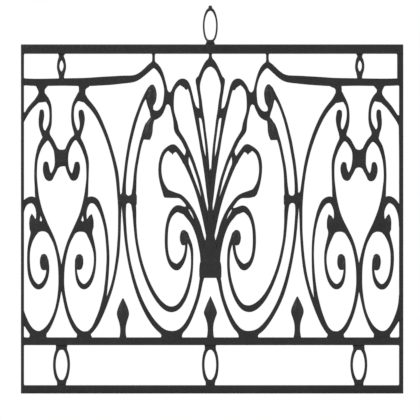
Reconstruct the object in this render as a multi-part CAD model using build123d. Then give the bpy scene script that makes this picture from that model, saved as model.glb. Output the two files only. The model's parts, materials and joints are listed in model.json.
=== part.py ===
from build123d import *
import os
import math

# Ornamental iron railing panel: a rectangular bar frame filled with leaf scrolls, a palmette
# fan, two lyres, rings and spear points. Millimetres, +Z up, the flat panel stands in the XZ
# plane, and the origin is the middle of the flat underside of the bottom rail.

# ---- driving dimensions -------------------------------------------------------------------
FRAME_LEFT = -525.4        # outer face of the left post
FRAME_RIGHT = 525.4        # outer face of the right post
FRAME_TOP = 959.9          # top face of the top rail
TOP_RAIL_BASE = 934.6      # underside of the top rail
BOTTOM_RAIL_TOP = 22.6     # top face of the bottom rail
LOWER_RAIL_BASE = 133.5    # intermediate rail that carries the ornament
LOWER_RAIL_TOP = 154.4
LEFT_POST_INNER = -517.7   # the left post is a thin flat bar
RIGHT_POST_INNER = 514.5   # the right post is a thicker bar
RIGHT_HEAD_INNER = 509.2   # ... with a still thicker head above the upper rail
RIGHT_HEAD_BASE = 865.0

TOP_RAIL_DEPTH = 30.0      # front to back
FRAME_DEPTH = 22.0
BAR_DEPTH = 16.0           # scroll bars and leaves
RING_DEPTH = 12.0
SPEAR_DEPTH = 14.0
COLLAR_DEPTH = 21.0        # collars stand proud of the bars on both faces
BASE_DEPTH = 21.0
RAIL_EDGE = 2.0            # small chamfer along the rails

# ---- centre lines: (x, z, bar width) control points of cubic B-splines ---------------------
# The two halves are bent by hand to one pattern, so they differ by a millimetre or so.
CENTER = {
    "center_hanger": [
        (-4.7, 938.9, 6.6), (-4.7, 930.2, 6.6), (-4.7, 923.3, 8.1), (-4.7, 916.7, 14.6),
        (-4.7, 908.8, 22.4),
    ],
    "stem": [
        (-4.8, 619.9, 1.6), (-4.8, 606, 4.7), (-4.8, 586.9, 7.4), (-4.8, 559.3, 9.1),
        (-4.8, 531.2, 10.6), (-4.8, 502.8, 13), (-4.8, 468.2, 16.6), (-4.8, 433.8, 22.3),
        (-4.8, 407.2, 31.2), (-4.8, 381.9, 41.8), (-4.8, 361.9, 51.7), (-4.8, 352.6, 59),
        (-4.8, 341.6, 61.4), (-4.8, 318.3, 59.8),
    ],
    "spear_C": [
        (-4.7, 264.9, 2.1), (-4.7, 252.2, 15.1), (-4.7, 236.7, 27.9), (-4.7, 223.6, 36.5),
        (-4.7, 213.2, 31.8), (-4.7, 201.1, 21.4), (-4.7, 185.3, 14.3), (-4.7, 168.5, 14.4),
        (-4.7, 154.2, 18.7),
    ],
    "ringC_neck_top": [
        (-5, 136, 30.2), (-5.2, 127.9, 30), (-4.7, 120.5, 29.8),
    ],
    "ringC_neck_bot": [
        (-4.4, 37.8, 27.6), (-5.2, 29.1, 24.8), (-5.1, 19.2, 22),
    ],
    "finial_knob": [
        (-5, 1066.8, 11.2), (-5, 1062.6, 8.6), (-5, 1056.4, 6.1),
    ],
    "finial_neck": [
        (-5, 972.5, 14), (-5, 969, 15.5), (-5, 965.5, 20), (-5, 962, 23.5), (-5, 958.4, 26),
    ],
}

CENTER_LOOPS = {
    "ring_low_C": [
        (-5.5, 131, 11.3), (-17.1, 120.3, 8.7), (-23.4, 101.1, 6.7), (-25.1, 77.9, 6.1),
        (-22.7, 54.8, 7.1), (-16.5, 37.1, 9.5), (-5.1, 27.3, 10.6), (6.7, 37.7, 9.4),
        (13, 55.3, 7), (15.1, 78.1, 6.2), (13.4, 100.9, 6.7), (7.6, 119.8, 8.3),
    ],
    "finial": [
        (-4.7, 1058.7, 9.1), (-13.7, 1053.7, 6.4), (-19.9, 1039.2, 4.4), (-23.3, 1022.1, 4),
        (-23.3, 1002, 4.2), (-20.5, 983.2, 4.4), (-14, 969.6, 5.1), (-4.9, 969.8, 5.2),
        (4.3, 970, 5.1), (10.6, 983.6, 4.4), (13.2, 1002, 4.1), (13.3, 1021.5, 4),
        (10.1, 1038.3, 4.4), (4.3, 1052.9, 6),
    ],
}

LEFT = {
    "upper_rail": [
        (-525, 857.8, 18.1), (-493.6, 855.4, 19.2), (-458.4, 855.7, 19.7),
        (-419.5, 856.8, 19.4), (-379.2, 856.7, 20.7), (-343.3, 856.5, 22.4),
        (-309.6, 859, 23.3), (-275.5, 860.6, 23.2), (-241.4, 864, 21.2), (-218.2, 864.4, 18.7),
        (-202.5, 870.7, 15.9), (-188, 882, 14.5), (-173.9, 894.7, 15.9), (-161.5, 907.6, 16.8),
        (-147.5, 895.1, 13.7), (-137.2, 876.4, 9), (-131.3, 855, 7.3), (-126.6, 835.8, 8.5),
        (-127.2, 813.8, 8.9), (-131.2, 792, 9.6), (-140.2, 774.5, 13.4), (-149.1, 766.2, 20),
        (-162.4, 765.3, 27.6),
    ],
    "outer_leaf": [
        (-166.1, 849.5, 7.5), (-164.9, 842.3, 15.3), (-165.1, 832.7, 22.4),
        (-165.9, 821.4, 27.3), (-167.8, 810.5, 28.4), (-168, 803.6, 24.5), (-169.8, 796.8, 18),
        (-169.5, 787.3, 12.7), (-166, 775.4, 9.5), (-165.9, 759.4, 7.4),
    ],
    "outer_u": [
        (-169.2, 840.8, 11.7), (-176.3, 831.9, 10.6), (-184.1, 816.8, 9), (-192.6, 801.5, 7.6),
        (-199.9, 782.4, 7.5), (-207.7, 760.4, 8.2), (-214.7, 738.2, 8.4), (-220.8, 713.1, 8.3),
        (-226.8, 688.4, 7.9), (-231.2, 663.2, 7.4), (-235.7, 635.2, 7.4), (-238.6, 607.1, 7.2),
        (-241.4, 579.6, 8.2), (-242.8, 553.5, 10.9), (-240.8, 532.8, 11.8),
        (-242.5, 511.8, 10.2), (-241.6, 484.6, 8.5), (-239.6, 456.7, 7.7),
        (-237.6, 428.4, 7.4), (-234, 400, 7.1), (-228.8, 366, 7.2), (-220.7, 332, 7.8),
        (-211.3, 297.5, 8.7), (-199.2, 262.8, 9.9), (-184.3, 230.7, 11.1),
        (-167.7, 202.9, 13.1), (-149.7, 180.9, 14.9), (-131.3, 166.3, 16), (-109.7, 161.5, 16),
        (-87.9, 168.3, 14.6), (-70.9, 186.5, 12.1), (-57.7, 212.4, 10), (-46.7, 240.6, 9.1),
        (-37.6, 269, 8.9), (-31.9, 296.3, 8.6), (-29.2, 314.6, 10.4), (-24.6, 329.1, 13.2),
    ],
    "inner_leaf": [
        (-162.2, 759.7, 11.2), (-168.8, 748.4, 15.9), (-173.5, 737.8, 20.1),
        (-174.4, 724.7, 22.5), (-176.8, 711.2, 22.4), (-179.6, 703.5, 20.2),
        (-179.9, 698.3, 16.8),
    ],
    "inner_u": [
        (-176.8, 743.1, 11.1), (-184.2, 727.6, 10.1), (-189, 709.6, 9), (-195.4, 691.9, 7.9),
        (-200.7, 669.8, 7.1), (-205.7, 642.1, 7.2), (-209.9, 619.4, 7.4), (-212.3, 593.2, 8),
        (-213.2, 567.6, 9.7), (-216.1, 544.6, 13), (-217, 524.6, 13.5), (-213.5, 501.8, 10.6),
        (-213.2, 477, 8.3), (-211.2, 451.2, 7.2), (-208.9, 425.9, 6.8), (-204.5, 400.7, 7.1),
        (-198.9, 372.9, 7.5), (-190.8, 344.5, 8), (-180.6, 315.6, 8.6), (-168.2, 287.6, 9.7),
        (-153.2, 261.6, 10.8), (-135.8, 241.2, 12.7), (-120.3, 231.7, 15), (-108.2, 231, 15.6),
        (-95.3, 235.9, 13.6), (-83.7, 248.5, 11.5), (-72.7, 268.4, 10.1), (-64.7, 292.5, 8.6),
        (-58.2, 320.4, 6.9), (-55, 347.9, 5.5), (-54.8, 375.4, 5.7), (-55.5, 399.8, 7.8),
        (-63, 420.1, 10.2), (-73.2, 437.5, 12.6),
    ],
    "inner_ball": [
        (-76.9, 449.1, 7.3), (-77.4, 445.8, 14.9), (-77.9, 438.2, 19.7), (-78.9, 427.3, 21.1),
        (-78.4, 417.6, 18.4), (-77.4, 407.6, 10.5),
    ],
    "volute": [
        (-26, 345.3, 12.7), (-25.3, 361.7, 12.6), (-26.2, 383.6, 12.4), (-31.1, 405.7, 12.2),
        (-35.7, 428.6, 12.1), (-43.7, 452, 12.3), (-53.9, 474.6, 13.1), (-67.7, 490.6, 15.4),
        (-72.8, 502.4, 19.8), (-81.2, 503.9, 20.5), (-94, 510.5, 19), (-103.3, 504.9, 15.7),
        (-113.7, 492.9, 11.2), (-120.3, 477.2, 8.5), (-125, 455.2, 7.8), (-126.3, 428.8, 8),
        (-126.1, 401.6, 7.7), (-122.5, 376.2, 7.3), (-114.5, 357.8, 10.7),
        (-104.4, 350.3, 16.9), (-97.1, 345.8, 18.6), (-88.2, 353.5, 14.5), (-78.2, 367.2, 9.3),
        (-72.2, 387.3, 6.7), (-70.8, 404.1, 6), (-70.4, 418.5, 6.6),
    ],
    "lobe_low_under": [
        (-126.5, 541.3, 23), (-124.7, 546.4, 20.9), (-117.4, 550.5, 18.2),
        (-104.7, 545.6, 14.4), (-89.7, 544.4, 10.9), (-78.8, 535.6, 10.2),
        (-70.5, 525.5, 11.2), (-63, 514, 11.2), (-55.8, 502.5, 10.6), (-48, 487, 10.4),
        (-37.4, 465.9, 11.5), (-32.2, 440.3, 12), (-25.3, 419, 12.3), (-17.8, 398.9, 12.6),
    ],
    "lobe_low_loop": [
        (-119.6, 544.7, 24.8), (-126.8, 553.8, 18.3), (-133.9, 567.4, 12.6),
        (-140, 584.3, 9.5), (-143.8, 605.3, 8.2), (-143.9, 626.2, 7.8), (-140.1, 647.4, 8.2),
        (-132.1, 666.5, 9.2), (-118.1, 676.3, 10.6), (-106.8, 681.7, 11.4),
        (-99.4, 675.1, 11.8), (-87, 659, 12.6), (-75.6, 640.9, 13.1), (-65.7, 620.3, 11.3),
        (-55.9, 595.5, 8.9), (-46, 570.3, 8.5), (-37.4, 546.5, 9.9), (-31, 524.4, 10.7),
        (-25.4, 502.5, 11), (-20.1, 480.5, 10.9), (-16.1, 458.4, 10.6), (-11.6, 436.4, 10.1),
        (-8.5, 414.3, 9.6),
    ],
    "lobe_low_spur": [
        (-108.9, 674.5, 27), (-108.9, 670.5, 17), (-108.9, 665.6, 7), (-108.9, 660.2, 3.8),
        (-108.9, 656, 0.8),
    ],
    "tie_low": [
        (-73.2, 633.7, 15.5), (-70.5, 649, 11.8), (-67, 667.4, 8.4),
    ],
    "lobe_up_loop": [
        (-9.4, 471.6, 9), (-15.5, 498, 8.3), (-21.3, 519.3, 8), (-25.6, 541.5, 8.1),
        (-30.5, 564.3, 7.6), (-36.5, 590, 7.1), (-45.2, 615.3, 7.5), (-52.8, 639.3, 8.1),
        (-61.9, 659.2, 9.6), (-70.4, 676.9, 10.6), (-78, 694.5, 10.4), (-89, 710.1, 11.4),
        (-99, 723.5, 13.1), (-99.5, 739.7, 12), (-103.2, 756.5, 8.2), (-108.6, 775.4, 7.2),
        (-111.1, 795.3, 9.6), (-110.6, 816.6, 9.6), (-107, 835.5, 8.5), (-96.3, 850.5, 11.6),
        (-85.6, 859.9, 15.6), (-72.3, 858.3, 13.8), (-63.6, 844.1, 8.7), (-57.5, 824.3, 6.3),
        (-53, 802.1, 7.4), (-47.4, 783.3, 9.9), (-42.9, 763.6, 11.5), (-39.9, 744.3, 10.2),
        (-36.5, 722.3, 8.4), (-31.8, 697.2, 8.1), (-28.1, 672, 8.6), (-22.7, 650.6, 9.8),
        (-19.9, 631.8, 11), (-16.6, 612.6, 11), (-13.6, 587.7, 10.8), (-10.9, 559.9, 10.1),
        (-8.3, 532.4, 9.1), (-5.2, 505.1, 7.7),
    ],
    "lobe_up_spur": [
        (-79.7, 856.1, 22.8), (-72.3, 848.2, 12.5), (-71, 834.9, 2.6),
    ],
    "tie_up": [
        (-43.6, 775.9, 23.1), (-36.7, 770.5, 25.2), (-28.5, 767.3, 27.2),
    ],
    "tie_scroll": [
        (-129.3, 815.4, 32.2), (-118.8, 811.9, 34.9), (-108.9, 808.5, 37.7),
    ],
    "lobe_center": [
        (-6.6, 910.3, 21.7), (-14.8, 904.7, 15.4), (-22.4, 895.2, 10.4), (-28.5, 883, 9.2),
        (-33.8, 868.7, 10.1), (-38.2, 854.3, 9.9), (-38.3, 840.6, 8.5), (-34.8, 821.2, 7.5),
        (-31.8, 801.6, 8), (-30.9, 785, 9.4), (-28.5, 768.8, 9.1), (-24.4, 752.9, 7.3),
        (-21.8, 731.3, 6.2), (-19, 709.1, 6.4), (-16, 686.7, 6.2), (-14, 664.5, 6.5),
        (-13.3, 642.3, 8.6), (-12.4, 619.7, 9.8), (-12, 591.5, 10.6),
    ],
    "center_cusp": [
        (-37.5, 850.7, 14), (-40.1, 859.8, 10.3), (-42.3, 868.4, 6.4),
    ],
    "neck_R": [
        (-347, 852.9, 24.7), (-354.5, 846.5, 21.3), (-357.6, 839.5, 18.4), (-357.4, 830, 16.9),
        (-356.9, 816.1, 16.8), (-360.7, 802.8, 17.4),
    ],
    "arc_R": [
        (-358.4, 825.2, 16), (-350.7, 810.1, 15.1), (-341.3, 799.5, 14.1),
        (-329.3, 786.6, 12.9), (-316.5, 768, 11.4), (-305.7, 746.1, 10), (-294.9, 720.5, 9.1),
        (-284.4, 692.2, 8.5), (-275.8, 663, 8.3), (-267.5, 632.4, 8.6), (-261.3, 601.8, 9.4),
        (-258.5, 570.9, 8.2), (-256.6, 540.3, 7.7), (-253.8, 510.6, 8.2), (-254.7, 478, 7.5),
        (-254.9, 444.7, 6.8), (-256.9, 414, 7.4), (-258.5, 385.8, 7.8), (-262.5, 357.9, 7.4),
        (-266.4, 332.8, 6.9), (-272.5, 305.1, 7.1), (-279.5, 280.6, 7.8), (-288.9, 256.7, 9.2),
        (-299, 230.6, 10.2), (-310.4, 205.1, 10.4), (-322, 182.4, 10.3), (-338.9, 165.1, 10),
    ],
    "bow_R": [
        (-347.1, 469.6, 6.8), (-352.5, 496.3, 10.4), (-349.8, 514, 14.6),
        (-344.1, 529.1, 17.9), (-333.4, 534.4, 18.7), (-319.9, 530.1, 16.7),
        (-313.2, 519.1, 12.7), (-305.6, 502.6, 9.4), (-299.2, 482.2, 8.2),
        (-293.3, 458.6, 7.6), (-289.8, 433.6, 7.3), (-287.6, 405.7, 7.3), (-285.8, 377.9, 7.4),
        (-287.1, 350.2, 7.8), (-288.7, 321.9, 8), (-291.9, 293.9, 8.3), (-294.1, 271.7, 9.7),
        (-299.2, 250, 10.9), (-304.9, 227.2, 11), (-314.5, 204.8, 10.6), (-323.6, 183, 10.1),
        (-334.9, 168.9, 9.6), (-348.7, 163.5, 9.4),
    ],
    "bar_R": [
        (-360.3, 780.6, 10.7), (-360.3, 770.6, 15.5), (-357.7, 757.7, 16.4),
        (-357.3, 746.7, 12.9), (-358.6, 731.4, 9.7), (-364.6, 715.3, 10.6),
        (-370.3, 704.1, 12.9), (-363.7, 694.5, 12.9), (-356, 680.2, 10.7),
        (-349.1, 661.3, 9.9), (-342.7, 640.2, 8.7), (-342.4, 614.7, 6.3), (-342.7, 589.1, 5.6),
        (-344.7, 567, 7.5), (-345.9, 545.5, 10.5), (-350.5, 524, 10.7), (-356.8, 501.7, 9.2),
        (-364.2, 480.7, 9.9), (-372.3, 460.7, 12.2), (-382.3, 440.8, 11.1), (-393, 420.8, 8.3),
        (-400.7, 397.6, 8.2), (-406.5, 372.6, 8.7), (-410.7, 348.3, 9.7), (-412, 322.9, 10.1),
        (-412.2, 297.7, 9.5), (-408.4, 273, 8.2), (-403.3, 247.3, 8), (-397.2, 222.6, 8.8),
        (-387.9, 199.1, 10.2), (-377.4, 179.2, 12.2), (-364.9, 165.8, 14.6),
        (-351.3, 160.9, 16.9),
    ],
    "inner_R": [
        (-361.3, 825.7, 14.9), (-369, 813.8, 11.9), (-377.2, 802.8, 8.9), (-382.7, 789.5, 7),
        (-384.2, 770.7, 6.9), (-383.7, 751, 7.7), (-379.9, 732.6, 9.3), (-373.1, 717.2, 11.3),
        (-373, 705.7, 12.5), (-384.6, 700, 12.2), (-391.6, 686.5, 11.4), (-399.9, 669.5, 11.7),
        (-401.9, 647.6, 10.3), (-399.7, 625.9, 8.4), (-394.5, 607.1, 8.7), (-385, 593, 10.3),
        (-379.5, 589, 11.6),
    ],
    "volute_R": [
        (-332.2, 490.4, 3.6), (-334.4, 485, 12.7), (-335.1, 472, 20.1),
        (-336.9, 456.3, 20.5), (-339.4, 443.9, 17.1), (-333.6, 428.7, 12.1),
        (-326.7, 408, 8.8), (-322, 384.9, 6.3), (-321.6, 362, 5.7), (-324.1, 340.3, 6.9),
        (-329.3, 319.6, 8.6), (-337.5, 302.9, 11.6), (-350, 291.8, 14.8),
        (-359.8, 295.6, 13.3), (-369, 307.9, 8.8), (-373.7, 326.8, 5.9), (-375.6, 347.7, 4.4),
        (-375.2, 369.1, 3.2),
    ],
    "ball_R": [
        (-365.4, 381.9, 10.7), (-364.4, 378.3, 16.7), (-365.9, 371.1, 21.1),
        (-364.4, 360.9, 22), (-365.7, 350.2, 19.4), (-367.3, 341.4, 15),
    ],
    "bridge_R": [
        (-374.1, 459.1, 29.9), (-358.4, 461, 26.9), (-342.4, 456, 24.9), (-334.6, 449.6, 23.5),
    ],
    "foot_R": [
        (-353.9, 170.6, 34.3), (-353.4, 161.5, 37.1), (-351, 151.4, 40),
    ],
    "neck_L": [
        (-468, 850.4, 30.7), (-470.8, 843.6, 23.9), (-469.4, 838.3, 18.5),
        (-468.9, 829.9, 16.3), (-468.7, 815.7, 17), (-466.8, 801.2, 19),
    ],
    "arc_L": [
        (-469.1, 824.9, 15.3), (-477.1, 810.2, 13.9), (-486.8, 799.6, 12.5),
        (-499.3, 787.5, 11.9), (-510.7, 770.6, 11), (-518, 753.5, 6.7), (-524.3, 734.6, 0.8),
        (-529.4, 713.3, 0.8),
    ],
    "arcb_L": [
        (-534.3, 276.3, 0.8), (-526.6, 251.5, 0.8), (-524.2, 224.3, 0.8), (-519.2, 198.8, 4.8),
        (-506.6, 178.6, 10.6), (-490.1, 162.1, 16),
    ],
    "bow_L": [
        (-481, 467.5, 9.3), (-476.2, 495.1, 11.8), (-478.2, 512.8, 15.2),
        (-484.5, 527.2, 18.1), (-494.7, 534.3, 18.8), (-507.3, 530.9, 16.9),
        (-516.9, 521.9, 13.4), (-521.2, 505.4, 9.1), (-523.2, 486.8, 5.7), (-522, 463.7, 3.4),
    ],
    "bowb_L": [
        (-524.5, 270.9, 1.3), (-524.2, 248.2, 3.4), (-520.7, 226.3, 5.6), (-513.2, 205.1, 7.7),
        (-504.4, 184, 9.4), (-492.7, 170, 10.9), (-478.9, 164.2, 12.5),
    ],
    "bar_L": [
        (-468.8, 781.4, 9.5), (-468.3, 769.8, 13.7), (-469.4, 755.9, 14.6),
        (-471.4, 745.1, 11.5), (-470.8, 730, 9.8), (-463.7, 714.7, 11.9), (-456.2, 705, 14.4),
        (-461.7, 697, 14.6), (-472, 683.8, 11.9), (-478.9, 663.6, 9.1), (-484.2, 641.1, 6.9),
        (-485.5, 614.5, 6.9), (-485.6, 588.4, 7.2), (-483.1, 566.1, 8.1),
        (-482.5, 544.9, 10.5), (-477.7, 524.1, 10.7), (-471.3, 502.1, 9.2),
        (-463.3, 481.4, 9.9), (-455.3, 459.9, 12), (-444.3, 439.3, 10.9), (-434.1, 419.2, 7.9),
        (-427.5, 396.5, 7.2), (-422, 372.3, 7.9), (-418.3, 348.8, 9.6), (-417, 323.3, 10.4),
        (-417.3, 298.1, 9.9), (-420.2, 273.4, 8), (-424.5, 248.4, 7.2), (-430.3, 224.8, 7.2),
        (-439.3, 202.2, 8.3), (-449.4, 182.4, 11.5), (-461.6, 168.1, 15.8),
        (-475.3, 160.9, 19.9),
    ],
    "inner_L": [
        (-467.6, 822.5, 16.2), (-457.1, 813.3, 13.1), (-449.3, 802.1, 9.9),
        (-444.7, 787.4, 7.3), (-443.9, 768.7, 6), (-444, 750.1, 6.7), (-446.5, 734.1, 9.1),
        (-454, 720.6, 11.9), (-452.2, 707.8, 13.3), (-442.6, 697.1, 12.5),
        (-435.9, 682.9, 11.2), (-427.6, 667.5, 11.8), (-426.6, 646.8, 11.9),
        (-426.7, 626.4, 11), (-433.2, 610.6, 9.9), (-442.6, 594.6, 9.8), (-447.3, 587, 10.2),
    ],
    "volute_L": [
        (-495.8, 491, 3.6), (-494.9, 484.8, 12.6), (-493.6, 470.8, 19.7),
        (-491.7, 454.6, 20.3), (-489, 442.8, 17), (-495.7, 428.9, 11.9), (-502.4, 409.3, 8.2),
        (-505, 385.8, 6.8), (-505.1, 361.9, 7.1), (-503.9, 339.4, 8.1), (-499.7, 318.2, 9.7),
        (-490.7, 301.2, 12.1), (-478.7, 290.7, 14.6), (-467.3, 297.1, 12.9),
        (-457.6, 311.5, 9.4), (-452, 329.9, 7.8), (-451, 349.5, 7.7), (-454.7, 369.7, 7.8),
    ],
    "ball_L": [
        (-462.6, 383, 8.3), (-462.4, 378.7, 16.2), (-462.6, 370.1, 21.5), (-463, 359.3, 22.3),
        (-462.2, 348.4, 18.8), (-461.9, 340.1, 13),
    ],
    "bridge_L": [
        (-453.4, 458.9, 28.3), (-470.5, 462.1, 25.6), (-485.3, 456.1, 23.4),
        (-490.9, 445.7, 21.8),
    ],
    "foot_L": [
        (-478.2, 172, 47), (-478.6, 163.4, 45.8), (-479.1, 153.3, 44.7),
    ],
    "heart": [
        (-417.5, 670.2, 26.8), (-417, 658.3, 23.8), (-417, 641.6, 20.8), (-414, 624.7, 17.6),
    ],
    "foot_C": [
        (-110.6, 169.9, 58.6), (-111.3, 163.1, 56.4), (-111.7, 153.3, 54.1),
    ],
    "collar_U": [
        (-229.6, 545.4, 40.8), (-229.2, 533.7, 41.6), (-230.5, 522.8, 42.6),
    ],
    "collar_X": [
        (-251.5, 549.3, 12.4), (-248.5, 531.1, 11), (-246.4, 509.2, 9.6),
    ],
    "crest_hanger": [
        (-161, 936.3, 7.5), (-161, 923.6, 5.9), (-161, 915.6, 6.3), (-161.2, 910.7, 9.2),
    ],
    "collar_R": [
        (-370.4, 725.1, 13.6), (-370.9, 711.1, 20), (-370.9, 695.4, 26.3),
    ],
    "collar_L": [
        (-457.2, 726.1, 11.8), (-457.6, 710.7, 18.4), (-458.8, 693.6, 25.1),
    ],
    "spear": [
        (-245.4, 262.5, 1.7), (-245.3, 249.8, 15.3), (-245.4, 234.5, 27.9),
        (-245.7, 220.8, 35.5), (-245.5, 209.9, 31.2), (-245.2, 197.8, 21.6),
        (-245.2, 182.1, 14.8), (-245.3, 165.4, 14.2), (-246, 153.9, 17.6),
    ],
    "ring_neck_top": [
        (-413, 135.5, 29.8), (-414.9, 127.8, 30.1), (-414.3, 120.4, 30.5),
    ],
    "ring_neck_bot": [
        (-413.6, 37.4, 27.3), (-414.3, 28.7, 23.9), (-414.4, 18.9, 20.5),
    ],
    "up_neck_top": [
        (-413.6, 937.5, 17.1), (-415, 929.7, 13.8), (-415.9, 921.8, 10.6),
    ],
    "up_neck_bot": [
        (-414.3, 883.4, 18.6), (-414.3, 873.7, 14.1), (-414, 862.5, 9.8),
    ],
    "hook_L": [
        (-444.3, 588.6, 16.1), (-449.4, 593.5, 18.8), (-453.9, 603.5, 19.4),
        (-457.2, 617.6, 18.1), (-456.5, 630, 14.6), (-457.7, 638, 9.7),
    ],
    "hook_R": [
        (-382.9, 589, 15.1), (-378.7, 593.6, 18.3), (-375.5, 604.1, 19.1),
        (-371.3, 618.3, 18.1), (-371.5, 630.4, 14.7), (-371.9, 637.6, 9.8),
    ],
}

LEFT_LOOPS = {
    "ring_low": [
        (-413.4, 132.8, 10.5), (-425.9, 121.3, 8.5), (-432.3, 101.4, 7), (-434.6, 78, 6.6),
        (-431.9, 54.7, 7.3), (-425.4, 36.8, 9), (-413.7, 26.5, 9.7), (-402.7, 37, 8.7),
        (-396.5, 55.2, 7.1), (-393.5, 78.1, 6.5), (-395.8, 101, 7.1), (-402.2, 120.6, 8.7),
    ],
    "ring_up": [
        (-413.4, 928, 12.2), (-420.2, 917.9, 8.7), (-423.2, 906.6, 6.3), (-423.5, 895.5, 6.4),
        (-420.7, 885.3, 8.3), (-414.3, 876, 9.4), (-407.9, 885.9, 8.7), (-405, 895.3, 6.7),
        (-405, 904.4, 6.1), (-406.8, 913.5, 6.9),
    ],
}

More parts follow.
